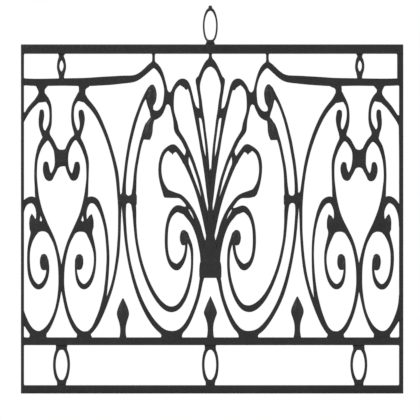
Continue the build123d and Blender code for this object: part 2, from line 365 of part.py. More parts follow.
RIGHT = {
    "upper_rail": [
        (525.4, 857.8, 18.6), (492.4, 855.8, 19.5), (451.2, 855.8, 20.1), (409.2, 856.7, 19.7),
        (367.9, 856.8, 20.8), (332.2, 856.2, 22.8), (299, 858.9, 23.3), (265.2, 860.7, 23),
        (231.1, 863.8, 21.2), (207.8, 864.6, 19.1), (191.9, 870.9, 16.9), (178.1, 882.8, 15.2),
        (164.5, 895.6, 16.2), (152.2, 907.6, 16.6), (138, 894, 12.8), (127.5, 874.8, 7.6),
        (121.6, 853.4, 6), (117.6, 834.5, 7.8), (117.5, 812.7, 9.2), (120.6, 791.1, 10.2),
        (131, 773.8, 13.7), (139.3, 764.3, 19.8), (151.8, 763, 25.9),
    ],
    "outer_leaf": [
        (157.4, 850, 7.6), (155.6, 843.4, 15.6), (155.1, 834.1, 22.7), (156.3, 822.7, 27.2),
        (158.4, 811.2, 27.7), (157.4, 802.7, 23.5), (159.5, 794.3, 16.9), (160.2, 784.7, 11.4),
        (156.6, 773.8, 8.4), (155.2, 759.1, 6.9),
    ],
    "outer_u": [
        (158.6, 840.7, 14.1), (165.2, 831.2, 12.1), (173.4, 816.3, 9.8), (182.6, 801.9, 7.5),
        (190, 783.6, 6.7), (197.8, 761.9, 7.2), (204.4, 739.6, 7.3), (210.4, 714.4, 7.7),
        (216.3, 689.5, 8.2), (220.4, 664.1, 8.1), (225.7, 636.1, 7.9), (228.7, 607.9, 7.8),
        (231.3, 580.3, 8.3), (232, 554.3, 9.4), (230.5, 533.5, 9.3), (233.8, 512.3, 8.2),
        (232.2, 484.7, 7.7), (229.9, 456.1, 7.8), (227.2, 427.3, 7.6), (222.9, 398.3, 7.6),
        (217, 363.6, 7.9), (209.4, 328.8, 8.4), (200.1, 293.8, 9.8), (187.9, 259.1, 10.5),
        (172, 227.5, 10.4), (155.4, 200.3, 11.8), (138.3, 179, 13.8), (120, 165.9, 15),
        (98.8, 161.6, 15.5), (77.4, 168.7, 15), (60.7, 187.2, 13.1), (47.3, 213.4, 10.6),
        (36.1, 241.5, 9.2), (27.2, 269.8, 8.6), (22.1, 296.9, 8.8), (19.4, 314.6, 10.6),
        (14.3, 328.4, 13.2),
    ],
    "inner_leaf": [
        (153.4, 760.2, 9.9), (159.1, 748.7, 15.1), (163, 737.9, 19.7), (163.7, 724.7, 22.3),
        (166.5, 711, 22.4), (169.7, 703, 20.3), (169.7, 697.3, 17.2),
    ],
    "inner_u": [
        (166.3, 742.8, 11.2), (174, 727.6, 10.2), (179, 709.7, 9.1), (185.2, 692.1, 7.8),
        (190.3, 670.1, 7), (195.5, 642.5, 7.3), (199.9, 619.7, 7.6), (202, 593.4, 8),
        (203, 567.8, 9.7), (206, 544.7, 12.9), (206.9, 524.6, 13.3), (203.4, 501.7, 10.6),
        (203, 476.7, 8.4), (201.1, 450.8, 7.3), (198.9, 425.2, 7.1), (194.3, 399.8, 7.2),
        (188.7, 371.8, 7.5), (180.6, 343.3, 8), (170.4, 314.5, 8.5), (158.1, 286.8, 10),
        (143.1, 261.5, 12.4), (125.3, 242.5, 15.8), (109.6, 233.6, 18.5), (97.7, 232.6, 18.1),
        (85, 236.9, 14.4), (73.4, 248.7, 11.2), (62.3, 268.5, 9.9), (54.1, 292.5, 8.8),
        (47.5, 320.3, 7.5), (44.6, 347.7, 6.6), (44.9, 375, 6.6), (46.4, 399.4, 7.9),
        (53.5, 420, 10.1), (62.4, 438.1, 12.7),
    ],
    "inner_ball": [
        (66.9, 449.2, 6.6), (67.2, 446, 15), (67.7, 438.4, 20.3), (68.7, 427.4, 21.8),
        (68.4, 417.6, 18.7), (67.6, 407.5, 9.8),
    ],
    "volute": [
        (16.1, 345.3, 12.7), (15.3, 361.7, 12.7), (16.2, 383.6, 12.6), (20.9, 405.6, 12.4),
        (25.4, 428.5, 12.3), (33.3, 451.8, 12.5), (43.4, 474.2, 13.2), (57, 489.9, 15.2),
        (62.4, 501.3, 19), (71.6, 502.7, 19.4), (84.8, 510, 18.5), (93.7, 504.8, 15.7),
        (103.5, 492.9, 11.2), (110, 477.2, 8.4), (115, 455.3, 7.9), (116.5, 428.8, 8.3),
        (116, 401.5, 8.2), (112.2, 375.9, 7.6), (104.3, 357.4, 10.7), (94.1, 350, 16.8),
        (87.1, 345.6, 18.3), (78.6, 353.5, 13.9), (68.4, 367.3, 8.9), (61.8, 387.3, 7.1),
        (60.1, 404, 7.2), (59.6, 418.4, 8.3),
    ],
    "lobe_low_under": [
        (115.5, 543.5, 19.9), (113.8, 547.1, 19.5), (107.1, 550.9, 18.4), (94.5, 546.5, 15.6),
        (79.2, 544.2, 11.7), (67.2, 534.9, 9.8), (59, 523.5, 10.8), (51.2, 511.5, 11),
        (43.8, 499.5, 10.7), (36, 484.5, 10.8), (27, 464, 11.5), (21.9, 439.4, 11.7),
        (15, 419, 11.8), (7.7, 399.5, 12),
    ],
    "lobe_low_loop": [
        (109.6, 548.8, 21.3), (117, 555.1, 16.7), (123.7, 567.2, 11.9), (129.3, 583.4, 8.5),
        (133.1, 604.4, 7.5), (133.7, 626, 8.3), (130.7, 647.9, 9.1), (122.3, 666.7, 9.9),
        (106.8, 676.2, 10.9), (95.2, 682.4, 11.5), (88.9, 675.1, 11.5), (76.5, 658, 11.7),
        (64.8, 639.1, 12.2), (54.8, 617.6, 10.9), (45.1, 592.2, 9.6), (35.3, 567.1, 9.9),
        (27.1, 543.9, 10.7), (20.5, 522.8, 10.9), (15.1, 501.8, 11), (10.1, 480.3, 10.9),
        (6.1, 458.4, 10.6), (1.6, 436.4, 10.2), (-1.4, 414.4, 9.8),
    ],
    "lobe_low_spur": [
        (98.4, 674.5, 28), (98.4, 670.5, 17), (98.4, 665.2, 6.6), (98.4, 660, 4.4),
        (98.6, 655.6, 0.8),
    ],
    "tie_low": [
        (63.3, 633.9, 15.3), (60.2, 648.9, 11.7), (56.3, 666.9, 8.4),
    ],
    "lobe_up_loop": [
        (-0.5, 471.7, 9), (5.5, 498, 8.3), (11.4, 519.3, 8), (15.7, 541.5, 8.1),
        (20.6, 564.2, 7.6), (26.3, 589.9, 7.1), (34.8, 615.2, 7.5), (42.7, 638.9, 8),
        (52.1, 658.8, 9.4), (60.7, 676.5, 10.2), (68.3, 694.1, 9.9), (79.1, 709.8, 11.4),
        (88.9, 723.2, 13.4), (89.2, 739.4, 12.1), (92.9, 756.2, 8.3), (98.5, 775.2, 7.4),
        (101, 795.2, 9.7), (100.3, 816.6, 9.9), (96.6, 835.5, 8.9), (85.9, 850.4, 11.9),
        (75.5, 859.8, 16.1), (62.6, 858, 14.7), (54.5, 843.6, 10.1), (48.4, 823.8, 7.8),
        (43.6, 801.6, 8.6), (37.6, 783, 10.4), (32.8, 763.4, 11.5), (29.6, 744.3, 9.9),
        (26.2, 722.3, 7.9), (21.6, 697.2, 7.6), (18, 672.1, 8.3), (12.8, 650.6, 9.7),
        (10, 631.8, 11), (6.6, 612.7, 11.1), (3.6, 587.7, 10.8), (1, 559.9, 10.1),
        (-1.6, 532.4, 9.1), (-4.8, 505.1, 7.7),
    ],
    "lobe_up_spur": [
        (69.4, 855.5, 21.8), (62.2, 847.1, 11.7), (60.4, 833.3, 1.9),
    ],
    "tie_up": [
        (34, 775.4, 23.5), (26.7, 770.3, 25.2), (18.7, 767.2, 27),
    ],
    "tie_scroll": [
        (119.6, 814.8, 34.7), (108.2, 811.4, 35.1), (97.4, 808.2, 35.6),
    ],
    "lobe_center": [
        (-3.3, 910.3, 21.7), (4.9, 904.7, 15.4), (12.4, 895.2, 10.4), (18.5, 883, 9.1),
        (23.8, 868.7, 10), (28.4, 854.3, 9.9), (28.7, 840.5, 8.7), (25.3, 821.1, 8),
        (22.1, 801.5, 8.5), (21, 785, 9.7), (18.5, 768.8, 9.1), (14.4, 752.9, 7.2),
        (11.8, 731.3, 6.2), (9, 709.1, 6.4), (6, 686.7, 6.2), (4, 664.5, 6.5),
        (3.3, 642.3, 8.6), (2.5, 619.7, 9.8), (2, 591.5, 10.6),
    ],
    "center_cusp": [
        (28.1, 851.1, 14), (30.3, 860, 10.2), (32.2, 868.6, 6.1),
    ],
    "neck_R": [
        (333.3, 854.6, 24.7), (343.4, 848.4, 20.6), (348, 841.5, 17.5), (348.2, 831.4, 16.1),
        (347.8, 816, 16.5), (350.7, 800.6, 17.7),
    ],
    "arc_R": [
        (347.9, 824.9, 16.6), (340, 809.4, 15.2), (330.2, 798.3, 13.7), (318, 784.7, 12.2),
        (305.1, 765.2, 11.2), (293.6, 742.7, 10.6), (282.7, 716.9, 10.1), (272.6, 688.4, 9.4),
        (264.3, 659.7, 8.7), (257.3, 629.5, 8.3), (252.5, 599.5, 7.7), (248.5, 569.6, 8.1),
        (245.2, 540, 9.2), (243.4, 510.9, 9), (244.4, 478.6, 7.7), (244.7, 445.7, 6.7),
        (246.9, 415.1, 6.9), (248.8, 387.3, 7.2), (252.1, 359.4, 7.5), (255.6, 334.4, 7.8),
        (261.8, 306.6, 7.6), (268.5, 281.7, 7.7), (277.1, 257.3, 9.3), (287.6, 230.9, 10.6),
        (298.8, 204.8, 11.5), (310.4, 181.2, 12.2), (326.2, 162.3, 12.8),
    ],
    "bow_R": [
        (339.9, 469.2, 13), (344.4, 495.7, 14.7), (340.3, 513.7, 16.7), (333.8, 529.3, 18.2),
        (323.1, 534.8, 18.1), (309.3, 529.4, 15.9), (301.3, 517.3, 12.8), (293.3, 499.8, 10),
        (287.2, 479.4, 7.9), (282.2, 456.3, 6.9), (279, 432, 6.5), (277.1, 405, 5.9),
        (276.7, 377.9, 5.7), (277.6, 350.6, 6.4), (279, 322.6, 7.2), (282.4, 294.7, 8.2),
        (284.3, 272.4, 10.5), (288.6, 250.6, 12.7), (294, 227.6, 13.4), (302.4, 204.7, 13.2),
        (311.4, 182.7, 12.4), (323.7, 168.7, 11.5), (338.5, 163.2, 10.6),
    ],
    "bar_R": [
        (350.1, 780.4, 11.3), (350.3, 770.4, 15.7), (347.9, 757.5, 16.4), (347.3, 746.5, 13),
        (348.5, 731.2, 10.1), (354.7, 714.9, 11.2), (360.7, 703.4, 13.7), (354, 693.8, 13.7),
        (346.1, 679.7, 10.9), (339, 661, 9.4), (332.5, 640.2, 8.4), (332.4, 614.8, 7.1),
        (332.7, 589.2, 7), (334.8, 567, 8.7), (335.6, 545.5, 11.4), (339.6, 523.8, 12),
        (345.2, 501.3, 11.3), (352.3, 480.3, 12.1), (361.2, 460.7, 13.8), (372.4, 441.2, 12.3),
        (383.7, 421.5, 9.3), (391.2, 398.2, 8.7), (396.6, 373, 8.7), (400.7, 348.5, 9.6),
        (401.7, 323, 10.2), (401.8, 297.6, 10), (398.1, 272.7, 9), (393.2, 246.9, 8.9),
        (386.8, 222.3, 9.1), (377.3, 198.9, 10.1), (367.1, 178.9, 12.2), (354.8, 165.7, 14.7),
        (341.4, 160.9, 17.2),
    ],
    "inner_R": [
        (351.1, 825.7, 15.3), (358.7, 813.9, 12.1), (366.6, 802.8, 9), (372.3, 789, 6.9),
        (374.6, 769.9, 6.7), (373.6, 749.8, 8.6), (369.2, 731.1, 11.4), (361.4, 715.7, 14),
        (361.8, 704.1, 15.4), (374.5, 698.5, 14.3), (381.7, 684.9, 11.8), (391.7, 668.6, 11.8),
        (392.9, 647.4, 12.7), (390.4, 625.3, 12.6), (383.6, 607.3, 11.2), (373.7, 592.6, 10.3),
        (370, 586.8, 9.9),
    ],
    "volute_R": [
        (322, 490.2, 3.6), (324.3, 484.9, 13), (325.1, 472, 20.4), (326.8, 456.3, 20.6),
        (329.3, 443.9, 17.1), (323.5, 428.6, 12.2), (316.5, 407.8, 9.1), (311.5, 384.8, 6.5),
        (311.1, 361.9, 5.9), (313.7, 340.3, 7.2), (319, 319.6, 8.8), (327.3, 302.9, 11.8),
        (339.9, 291.8, 15.1), (349.9, 295.6, 13.7), (359.2, 307.9, 9.3), (363.7, 326.8, 6.3),
        (365.3, 347.6, 4.7), (364.6, 369, 3.5),
    ],
    "ball_R": [
        (355.3, 382.1, 10.6), (354.3, 378.4, 16.8), (355.9, 371.1, 21.2), (354.4, 360.8, 22.1),
        (355.6, 350.1, 19.4), (357.1, 341.3, 15),
    ],
    "bridge_R": [
        (362.8, 460.5, 32.6), (347.5, 461.9, 28.9), (332.2, 456.2, 25.7), (325.2, 448.7, 22.9),
    ],
    "foot_R": [
        (341.9, 171.1, 36.2), (341.4, 162, 41.5), (339.1, 151.3, 46.9),
    ],
    "neck_L": [
        (459.3, 850.1, 28.5), (462.1, 844.3, 21.6), (460.8, 839.4, 16.1), (460.4, 830.9, 13.9),
        (459.7, 816.4, 14.7), (456.2, 802, 16.8),
    ],
    "arc_L": [
        (457.8, 824.1, 16.9), (466.1, 810, 15.7), (475.8, 799.8, 14.5), (488, 788.1, 13.4),
        (499, 771, 12.4), (510.5, 754.5, 10.9), (520.1, 735.3, 9.5), (522.1, 711.6, 8.3),
    ],
    "arcb_L": [
        (522.3, 278.7, 6.4), (521.8, 254.9, 8.3), (519.6, 228.5, 9.9), (510.1, 203.4, 11.4),
        (494.6, 180.9, 13), (479.2, 160.2, 14.7),
    ],
    "bow_L": [
        (469.2, 467.2, 13.9), (463.7, 494.2, 15.6), (466.7, 512, 17.8), (474.3, 527, 19.6),
        (484.3, 535.3, 19.6), (495.5, 531.4, 17.1), (506.8, 521.3, 14.2), (514.8, 503.4, 12.6),
        (519.5, 481.8, 11.8), (519.8, 457, 11.5),
    ],
    "bowb_L": [
        (517.8, 272.7, 7.6), (516.8, 249.7, 7.5), (512, 226.7, 7.6), (503.3, 204.3, 8.1),
        (494, 183.1, 8.9), (482.3, 169.4, 10.1), (468.7, 163.9, 11.5),
    ],
    "bar_L": [
        (458.8, 781.1, 10.5), (457.8, 769.6, 13.5), (459.2, 755.9, 14), (461.3, 744.8, 11.6),
        (460.3, 728.9, 10.3), (453, 712.4, 11.8), (444.6, 702.5, 13.8), (450.3, 696.3, 14.3),
        (461.2, 685.4, 12.6), (467.9, 665.4, 10.1), (473.5, 642.3, 8.1), (475.6, 615, 7),
        (476, 588.2, 7), (473.4, 565.5, 8.6), (472.5, 544.2, 11.4), (468.7, 523.1, 13.3),
        (462.9, 500.7, 14.2), (454.9, 479.7, 14.4), (445.6, 458.4, 13.7), (433.5, 438.3, 10.9),
        (423.7, 418.4, 8.1), (416.9, 395.7, 7.9), (411.4, 371.7, 9.2), (407.7, 348.5, 10.9),
        (406.7, 323.3, 11.7), (407, 298.2, 10.9), (410.1, 273.9, 8.9), (414.7, 249.1, 7.3),
        (419.9, 225.3, 6.9), (428.6, 202.6, 8.3), (438.6, 182.8, 11.6), (450.8, 168.4, 15.9),
        (464.7, 161.2, 20.4),
    ],
    "inner_L": [
        (457.1, 823.7, 13.9), (446.8, 814.3, 11.4), (439.7, 802.6, 9.1), (435.1, 787.1, 7.4),
        (433, 768.3, 6.6), (433.7, 749.9, 7.9), (438.4, 733.4, 11.2), (447.1, 718.6, 14.1),
        (445.1, 705.4, 15.3), (432.9, 695.8, 14), (425, 682.4, 11.8), (417.3, 667, 12.4),
        (416.5, 646.4, 12.7), (416.2, 626.2, 11.9), (422.8, 610.7, 10.6), (432.5, 594.8, 10.7),
        (436.9, 587.1, 11.3),
    ],
    "volute_L": [
        (485.8, 490.5, 3.6), (484.6, 484.5, 13), (483.5, 470.6, 19.9), (481.7, 454.4, 20.3),
        (478.7, 442.7, 16.8), (485.1, 429, 11.8), (492.1, 409.5, 8.9), (495.5, 386, 8.7),
        (495.6, 361.9, 8.9), (493.6, 339.1, 8.6), (488.9, 317.7, 9.5), (480.3, 300.7, 12.4),
        (468.5, 290.6, 15.4), (456.7, 297, 13.7), (447.8, 311.2, 9.3), (443.2, 329.7, 6.2),
        (441.9, 349.4, 5.5), (444.1, 369.7, 5.8),
    ],
    "ball_L": [
        (452.5, 383.3, 8.7), (452.3, 378.8, 16.2), (452.7, 370.1, 21.4), (453.1, 359.2, 22.2),
        (452.3, 348.2, 18.8), (451.9, 339.7, 13.4),
    ],
    "bridge_L": [
        (444.9, 460.4, 32.3), (461.4, 462.2, 28.7), (476, 455.4, 25.5), (481.7, 444.7, 22.7),
    ],
    "foot_L": [
        (467.3, 172.1, 46.3), (467.2, 163.8, 44.7), (467, 154.1, 43.1),
    ],
    "heart": [
        (403.5, 670, 24.2), (403.8, 657.9, 23.1), (404.9, 640.5, 22.1), (405.3, 622.1, 21.2),
    ],
    "foot_C": [
        (98.8, 170.3, 55.9), (99.5, 163.2, 52.5), (100.4, 153, 49.2),
    ],
    "collar_U": [
        (219, 545.4, 40), (219.3, 533.7, 41.6), (220.6, 522.8, 43.4),
    ],
    "collar_X": [
        (241.1, 554, 12.4), (238.8, 534.1, 11), (237.2, 511, 9.6),
    ],
    "crest_hanger": [
        (152, 936.2, 7.1), (151.9, 923.6, 5.6), (152, 915.5, 6.1), (152.6, 910.7, 8.9),
    ],
    "collar_R": [
        (360, 725.4, 11.6), (360.3, 711.5, 18.9), (360.2, 696.2, 26.3),
    ],
    "collar_L": [
        (448.3, 727.5, 10.9), (448, 712.3, 18.4), (448.1, 695.8, 26.1),
    ],
    "spear": [
        (234.6, 265.7, 4.4), (234.7, 252.9, 17.8), (234.5, 237.8, 29.7), (234.5, 224.3, 35.5),
        (234.6, 213, 29.5), (234.6, 200.1, 19.6), (234.4, 183.5, 13.9), (234.1, 166.1, 15),
        (234.2, 154, 20),
    ],
    "ring_neck_top": [
        (402.1, 135.5, 30.6), (404, 127.6, 30.7), (403.6, 120, 30.7),
    ],
    "ring_neck_bot": [
        (403.4, 38.1, 28.6), (403.6, 28.8, 24.6), (403.5, 18.7, 20.6),
    ],
    "up_neck_top": [
        (405.5, 937.6, 17.8), (406.1, 930, 13.7), (406.1, 922.3, 9.6),
    ],
    "up_neck_bot": [
        (405.6, 882.7, 18.3), (405.7, 873.5, 13.8), (405.4, 862.8, 9.4),
    ],
    "hook_L": [
        (433.7, 588, 15.6), (439.2, 593, 19), (443.8, 603.2, 19.6), (447.2, 617.2, 18.1),
        (445.6, 629.3, 14.2), (445.1, 636.7, 9),
    ],
    "hook_R": [
        (373.3, 590, 18.2), (368.9, 594.6, 19.7), (365.2, 604.9, 20), (360.8, 618.4, 18.4),
        (362.2, 629.7, 14.4), (364.4, 636.5, 9.2),
    ],
}

RIGHT_LOOPS = {
    "ring_low": [
        (402.9, 132.5, 11.1), (415.4, 121, 8.7), (421.8, 101.3, 6.8), (424, 77.9, 6.2),
        (421.2, 54.7, 7), (414.8, 36.8, 9.1), (403.1, 26.5, 10.1), (392, 36.9, 9.1),
        (385.8, 55.1, 7), (382.7, 78, 6.2), (385.2, 100.8, 6.9), (391.7, 120.4, 8.8),
    ],
    "ring_up": [
        (404.6, 927.6, 12.1), (411.9, 917.8, 8.6), (415.2, 906.6, 6.1), (415.5, 895.4, 6.3),
        (412.5, 885.2, 8.3), (405.7, 876, 9.6), (399.4, 886, 9.1), (396.9, 895.2, 7.4),
        (397, 904.1, 6.9), (398.5, 912.9, 7.6),
    ],
}

# corners (x, z) of the folded ends of the lower leaves, and of the shoulders on the middle leaf
FOLD = {"left": [(-138.1, 561.2), (-133.7, 543.8), (-130.9, 538.9), (-110.3, 538.1), (-93.8, 538.1),
                 (-92.4, 549.9), (-107.6, 554.6), (-120.5, 560.9), (-129.0, 568.6)],
        "right": [(127.8, 561.2), (124.0, 547.1), (119.6, 540.8), (104.2, 538.3), (84.9, 537.8),
                  (82.2, 551.0), (95.9, 555.9), (110.5, 560.9), (118.5, 568.6)]}
SHOULDER = {"left": [(-38.0, 872.5), (-43.8, 867.0), (-45.1, 862.8), (-45.0, 855.4), (-42.1, 840.3),
                     (-38.8, 822.4), (-33.9, 822.4), (-33.9, 840.3), (-32.5, 856.8), (-30.6, 870.6)],
            "right": [(28.0, 872.7), (33.5, 866.7), (35.2, 862.8), (35.0, 857.3), (32.7, 841.7),
                      (29.9, 822.4), (24.4, 822.4), (25.3, 840.3), (23.9, 856.8), (20.3, 870.6)]}
# welds between the volutes and the lower leaves
WELD = {"left": [(-79.0, 512.0), (-70.0, 516.0), (-59.5, 504.5), (-66.0, 500.0)],
        "right": [(69.0, 512.0), (60.0, 516.0), (49.5, 504.5), (56.0, 500.0)]}
# spear points: x, then (z, width) from the tip to the widest place, and from there to the foot
SPEAR = {"center": (-4.6, [(267.4, 1.4), (247.7, 18.2), (222.3, 35.6)],
                    [(222.3, 35.6), (209.2, 27.0), (192.7, 17.4), (174.8, 14.6), (158.3, 17.6),
                     (150.0, 19.0)]),
         "left": (-245.2, [(262.6, 1.4), (242.2, 20.9), (219.0, 33.4)],
                  [(219.0, 33.4), (209.2, 28.6), (192.7, 19.0), (176.2, 14.4), (159.7, 16.5),
                   (150.0, 19.0)]),
         "right": (234.4, [(267.0, 1.8), (242.2, 25.6), (226.0, 34.6)],
                   [(226.0, 34.6), (209.2, 25.6), (192.7, 16.5), (176.2, 14.6), (159.7, 18.2),
                    (150.0, 20.0)])}

SAMPLES = 2                # points for each span of a centre line
STEP_MIN = 0.9             # shortest step along an edge


def blend(rows, t):
    """Cubic B-spline blend of four control rows."""
    a, b, c, d = rows
    w = ((1 - t) ** 3 / 6, (3 * t ** 3 - 6 * t ** 2 + 4) / 6,
         (-3 * t ** 3 + 3 * t ** 2 + 3 * t + 1) / 6, t ** 3 / 6)
    return tuple(w[0] * a[i] + w[1] * b[i] + w[2] * c[i] + w[3] * d[i] for i in range(3))


def de_boor(rows, samples):
    """Points along a clamped cubic B-spline through the control rows (x, z, width)."""
    n = len(rows)
    deg = min(3, n - 1)
    spans = n - deg
    knots = [0.0] * deg + [float(i) for i in range(spans + 1)] + [float(spans)] * deg
    out = []
    for j in range(spans * samples + 1):
        t = j / samples
        k = min(int(t), spans - 1) + deg
        pts = [list(rows[i]) for i in range(k - deg, k + 1)]
        for r in range(1, deg + 1):
            for i in range(deg, r - 1, -1):
                lo = knots[i + k - deg]
                hi = knots[i + 1 + k - r]
                f = (t - lo) / (hi - lo)
                pts[i] = [(1 - f) * p + f * q for p, q in zip(pts[i - 1], pts[i])]
        out.append(tuple(pts[deg]))
    return out


def closed_points(rows, samples):
    n = len(rows)
    return [blend([rows[(i + s - 1) % n] for s in range(4)], k / samples)
            for i in range(n) for k in range(samples)]


def sides(points, closed=False):
    """The two edges of a bar of varying width along its centre line."""
    n = len(points)
    left, right, way = [], [], []
    for i in range(n):
        if closed:
            p, q = points[(i - 1) % n], points[(i + 1) % n]
        else:
            p, q = points[max(i - 1, 0)], points[min(i + 1, n - 1)]
        m = points[i]
        dx, dz = q[0] - p[0], q[1] - p[1]
        length = math.hypot(dx, dz) or 1.0
        dx, dz = dx / length, dz / length
        half = m[2] / 2
        way.append((dx, dz))
        left.append((m[0] - dz * half, m[1] + dx * half))
        right.append((m[0] + dz * half, m[1] - dx * half))
    return tidy(left, way, closed), tidy(right, way, closed)


def tidy(side, way, closed):
    """Leave out the points where the inner edge of a tight bend would fold over itself."""
    keep = [side[0]]
    n = len(side)
    for i in range(1, n):
        a = keep[-1]
        along = (side[i][0] - a[0]) * way[i][0] + (side[i][1] - a[1]) * way[i][1]
        last = not closed and i == n - 1
        if along > STEP_MIN or last:
            if last:
                while len(keep) > 1 and ((side[i][0] - keep[-1][0]) * way[i][0]
                                         + (side[i][1] - keep[-1][1]) * way[i][1]) < STEP_MIN:
                    keep.pop()
            keep.append(side[i])
    if closed and len(keep) > 2:
        gap = (keep[0][0] - keep[-1][0]) * way[0][0] + (keep[0][1] - keep[-1][1]) * way[0][1]
        if gap < STEP_MIN:
            keep.pop()
    return keep


def at(p):
    return (p[0], 0.0, p[1])


def curve(pts):
    return Spline(*[at(p) for p in pts])


STROKES = {"center": CENTER, "left": LEFT, "right": RIGHT}
LOOPS = {"center": CENTER_LOOPS, "left": LEFT_LOOPS, "right": RIGHT_LOOPS}


def facing(flat):
    """All outlines face the front, so that they join cleanly."""
    return flat if flat.normal_at().Y < 0 else -flat


def bar(name, side="center", most=99.0, start=0):
    """Flat outline of one bar of the left half, the right half or the middle, at most so wide,
    and without its first few points."""
    rows = [(x, z, min(w, most)) for x, z, w in STROKES[side][name]]
    left_side, right_side = sides(de_boor(rows, SAMPLES)[start:])
    edges = [curve(left_side), Line(at(left_side[-1]), at(right_side[-1])),
             curve(right_side[::-1]), Line(at(right_side[0]), at(left_side[0]))]
    return facing(Face(Wire(edges)))


def plate(corners):
    """A flat outline with straight sides."""
    pts = [(x, 0.0, z) for x, z in corners]
    return facing(Face(Wire([Line(p, q) for p, q in zip(pts, pts[1:] + pts[:1])])))


def disc(x, z, radius):
    return facing(Face(Wire([Edge.make_circle(radius, Plane((x, 0, z), (1, 0, 0), (0, -1, 0)))])))


def spear(side):
    """Diamond spear point on a neck that flares at its foot."""
    x, head, neck = SPEAR[side]
    edges = []
    for s in (-1, 1):
        for rows in (head, neck):
            edges.append(Spline(*[(x + s * w / 2, 0.0, z) for z, w in rows]))
    for z, w in (head[0], neck[-1]):
        edges.append(Line((x - w / 2, 0.0, z), (x + w / 2, 0.0, z)))
    return facing(Face(Wire(edges)))


def knuckle(name, hook, side):
    """Round bottom where a bar turns up into its hook, with the taper that leads to it."""
    points = de_boor(STROKES[side][name], 8)
    hx, hz, hw = STROKES[side][hook][0]
    ux, uz, uw = [p for p in points if math.hypot(p[0] - hx, p[1] - hz) > 20.0][-1]
    length = math.hypot(hx - ux, hz - uz)
    nx, nz = -(hz - uz) / length / 2, (hx - ux) / length / 2
    taper = plate([(ux + nx * uw, uz + nz * uw), (hx + nx * hw, hz + nz * hw),
                   (hx - nx * hw, hz - nz * hw), (ux - nx * uw, uz - nz * uw)])
    return join(taper, disc(hx, hz, hw / 2))


def ring(name, side="center"):
    a, b = sides(closed_points(LOOPS[side][name], SAMPLES), closed=True)
    wires = [Wire([Spline(*[at(p) for p in pts], periodic=True)]) for pts in (a, b)]
    wires.sort(key=lambda w: w.bounding_box().size.X)
    return facing(Face(wires[1], [wires[0]]))


def box_face(x0, x1, z0, z1):
    return facing(Face(Wire([Line((x0, 0, z0), (x1, 0, z0)), Line((x1, 0, z0), (x1, 0, z1)),
                             Line((x1, 0, z1), (x0, 0, z1)), Line((x0, 0, z1), (x0, 0, z0))])))


def faces_of(shape):
    return list(shape.faces()) if shape is not None else []


def solid(flat, depth):
    """Extrude a flat outline both ways from the middle plane of the panel."""
    pieces = []
    for f in faces_of(flat):
        pieces.append(Solid.extrude(Face(f.wrapped).moved(Location((0, -depth / 2, 0))),
                                    Vector(0, depth, 0)))
    return pieces


def join(*flats):
    out = flats[0]
    for f in flats[1:]:
        out = out + f
    return out


def cut(flat, *others):
    """Take the neighbours' outlines out, so that pieces meet without overlapping."""
    for o in others:
        if o is not None:
            flat = flat - o
    return flat


def main_part(flat, least=25.0):
    """The outline without specks that a cut leaves behind."""
    found = [f for f in faces_of(flat) if f.area > least]
    found.sort(key=lambda f: -f.area)
    return found[0]


# ---- frame --------------------------------------------------------------------------------
top_flat = box_face(FRAME_LEFT, FRAME_RIGHT, TOP_RAIL_BASE, FRAME_TOP)
bottom_flat = box_face(FRAME_LEFT, FRAME_RIGHT, 0.0, BOTTOM_RAIL_TOP)
left_post_flat = box_face(FRAME_LEFT, LEFT_POST_INNER, BOTTOM_RAIL_TOP, TOP_RAIL_BASE)
right_post_flat = join(
    box_face(RIGHT_POST_INNER, FRAME_RIGHT, BOTTOM_RAIL_TOP, TOP_RAIL_BASE),
    box_face(RIGHT_HEAD_INNER, RIGHT_POST_INNER, RIGHT_HEAD_BASE, TOP_RAIL_BASE))
lower_flat = box_face(LEFT_POST_INNER, RIGHT_POST_INNER, LOWER_RAIL_BASE, LOWER_RAIL_TOP)
posts = (left_post_flat, right_post_flat)
frame_flats = (top_flat, bottom_flat, lower_flat) + posts


def rail(flat, depth, edge=RAIL_EDGE):
    body = solid(main_part(flat), depth)[0]
    long_edges = body.edges().filter_by(Axis.X)
    return chamfer(long_edges, edge)


def post(flat, depth, edge=1.5):
    body = solid(main_part(flat), depth)[0]
    return body


NODES = {}
NODES["top_rail"] = rail(top_flat, TOP_RAIL_DEPTH, 3.0)
NODES["bottom_rail"] = rail(bottom_flat, FRAME_DEPTH)
NODES["lower_rail"] = rail(lower_flat, FRAME_DEPTH)
NODES["left_post"] = post(left_post_flat, FRAME_DEPTH)
NODES["right_post"] = post(right_post_flat, FRAME_DEPTH)

FLATS = {}                 # outlines of the ornament, later ones give way to earlier ones

# ---- palmette base, between the two halves --------------------------------------------------
base_flat = bar("stem")
FLATS["palmette_base"] = base_flat

finial = join(ring("finial"), bar("finial_knob"), bar("finial_neck"))
FLATS["top_finial_ring"] = main_part(cut(finial, top_flat))
ring_c = join(ring("ring_low_C"), bar("ringC_neck_top"), bar("ringC_neck_bot"))
FLATS["lower_ring_center"] = main_part(cut(ring_c, lower_flat, bottom_flat))
FLATS["spear_center"] = main_part(cut(spear("center"), lower_flat))

for side in ("left", "right"):
    # upper rail with its crest, hook and the short hanger on the crest
    upper = join(bar("upper_rail", side), bar("crest_hanger", side))
    FLATS["upper_rail_" + side] = main_part(cut(upper, top_flat, *posts))
    upper = FLATS["upper_rail_" + side]

    almond = join(ring("ring_up", side), bar("up_neck_top", side), bar("up_neck_bot", side))
    FLATS["upper_ring_" + side] = main_part(cut(almond, top_flat, upper))
    oval = join(ring("ring_low", side), bar("ring_neck_top", side), bar("ring_neck_bot", side))
    FLATS["lower_ring_" + side] = main_part(cut(oval, lower_flat, bottom_flat))
    FLATS["spear_" + side] = main_part(cut(spear(side), lower_flat))

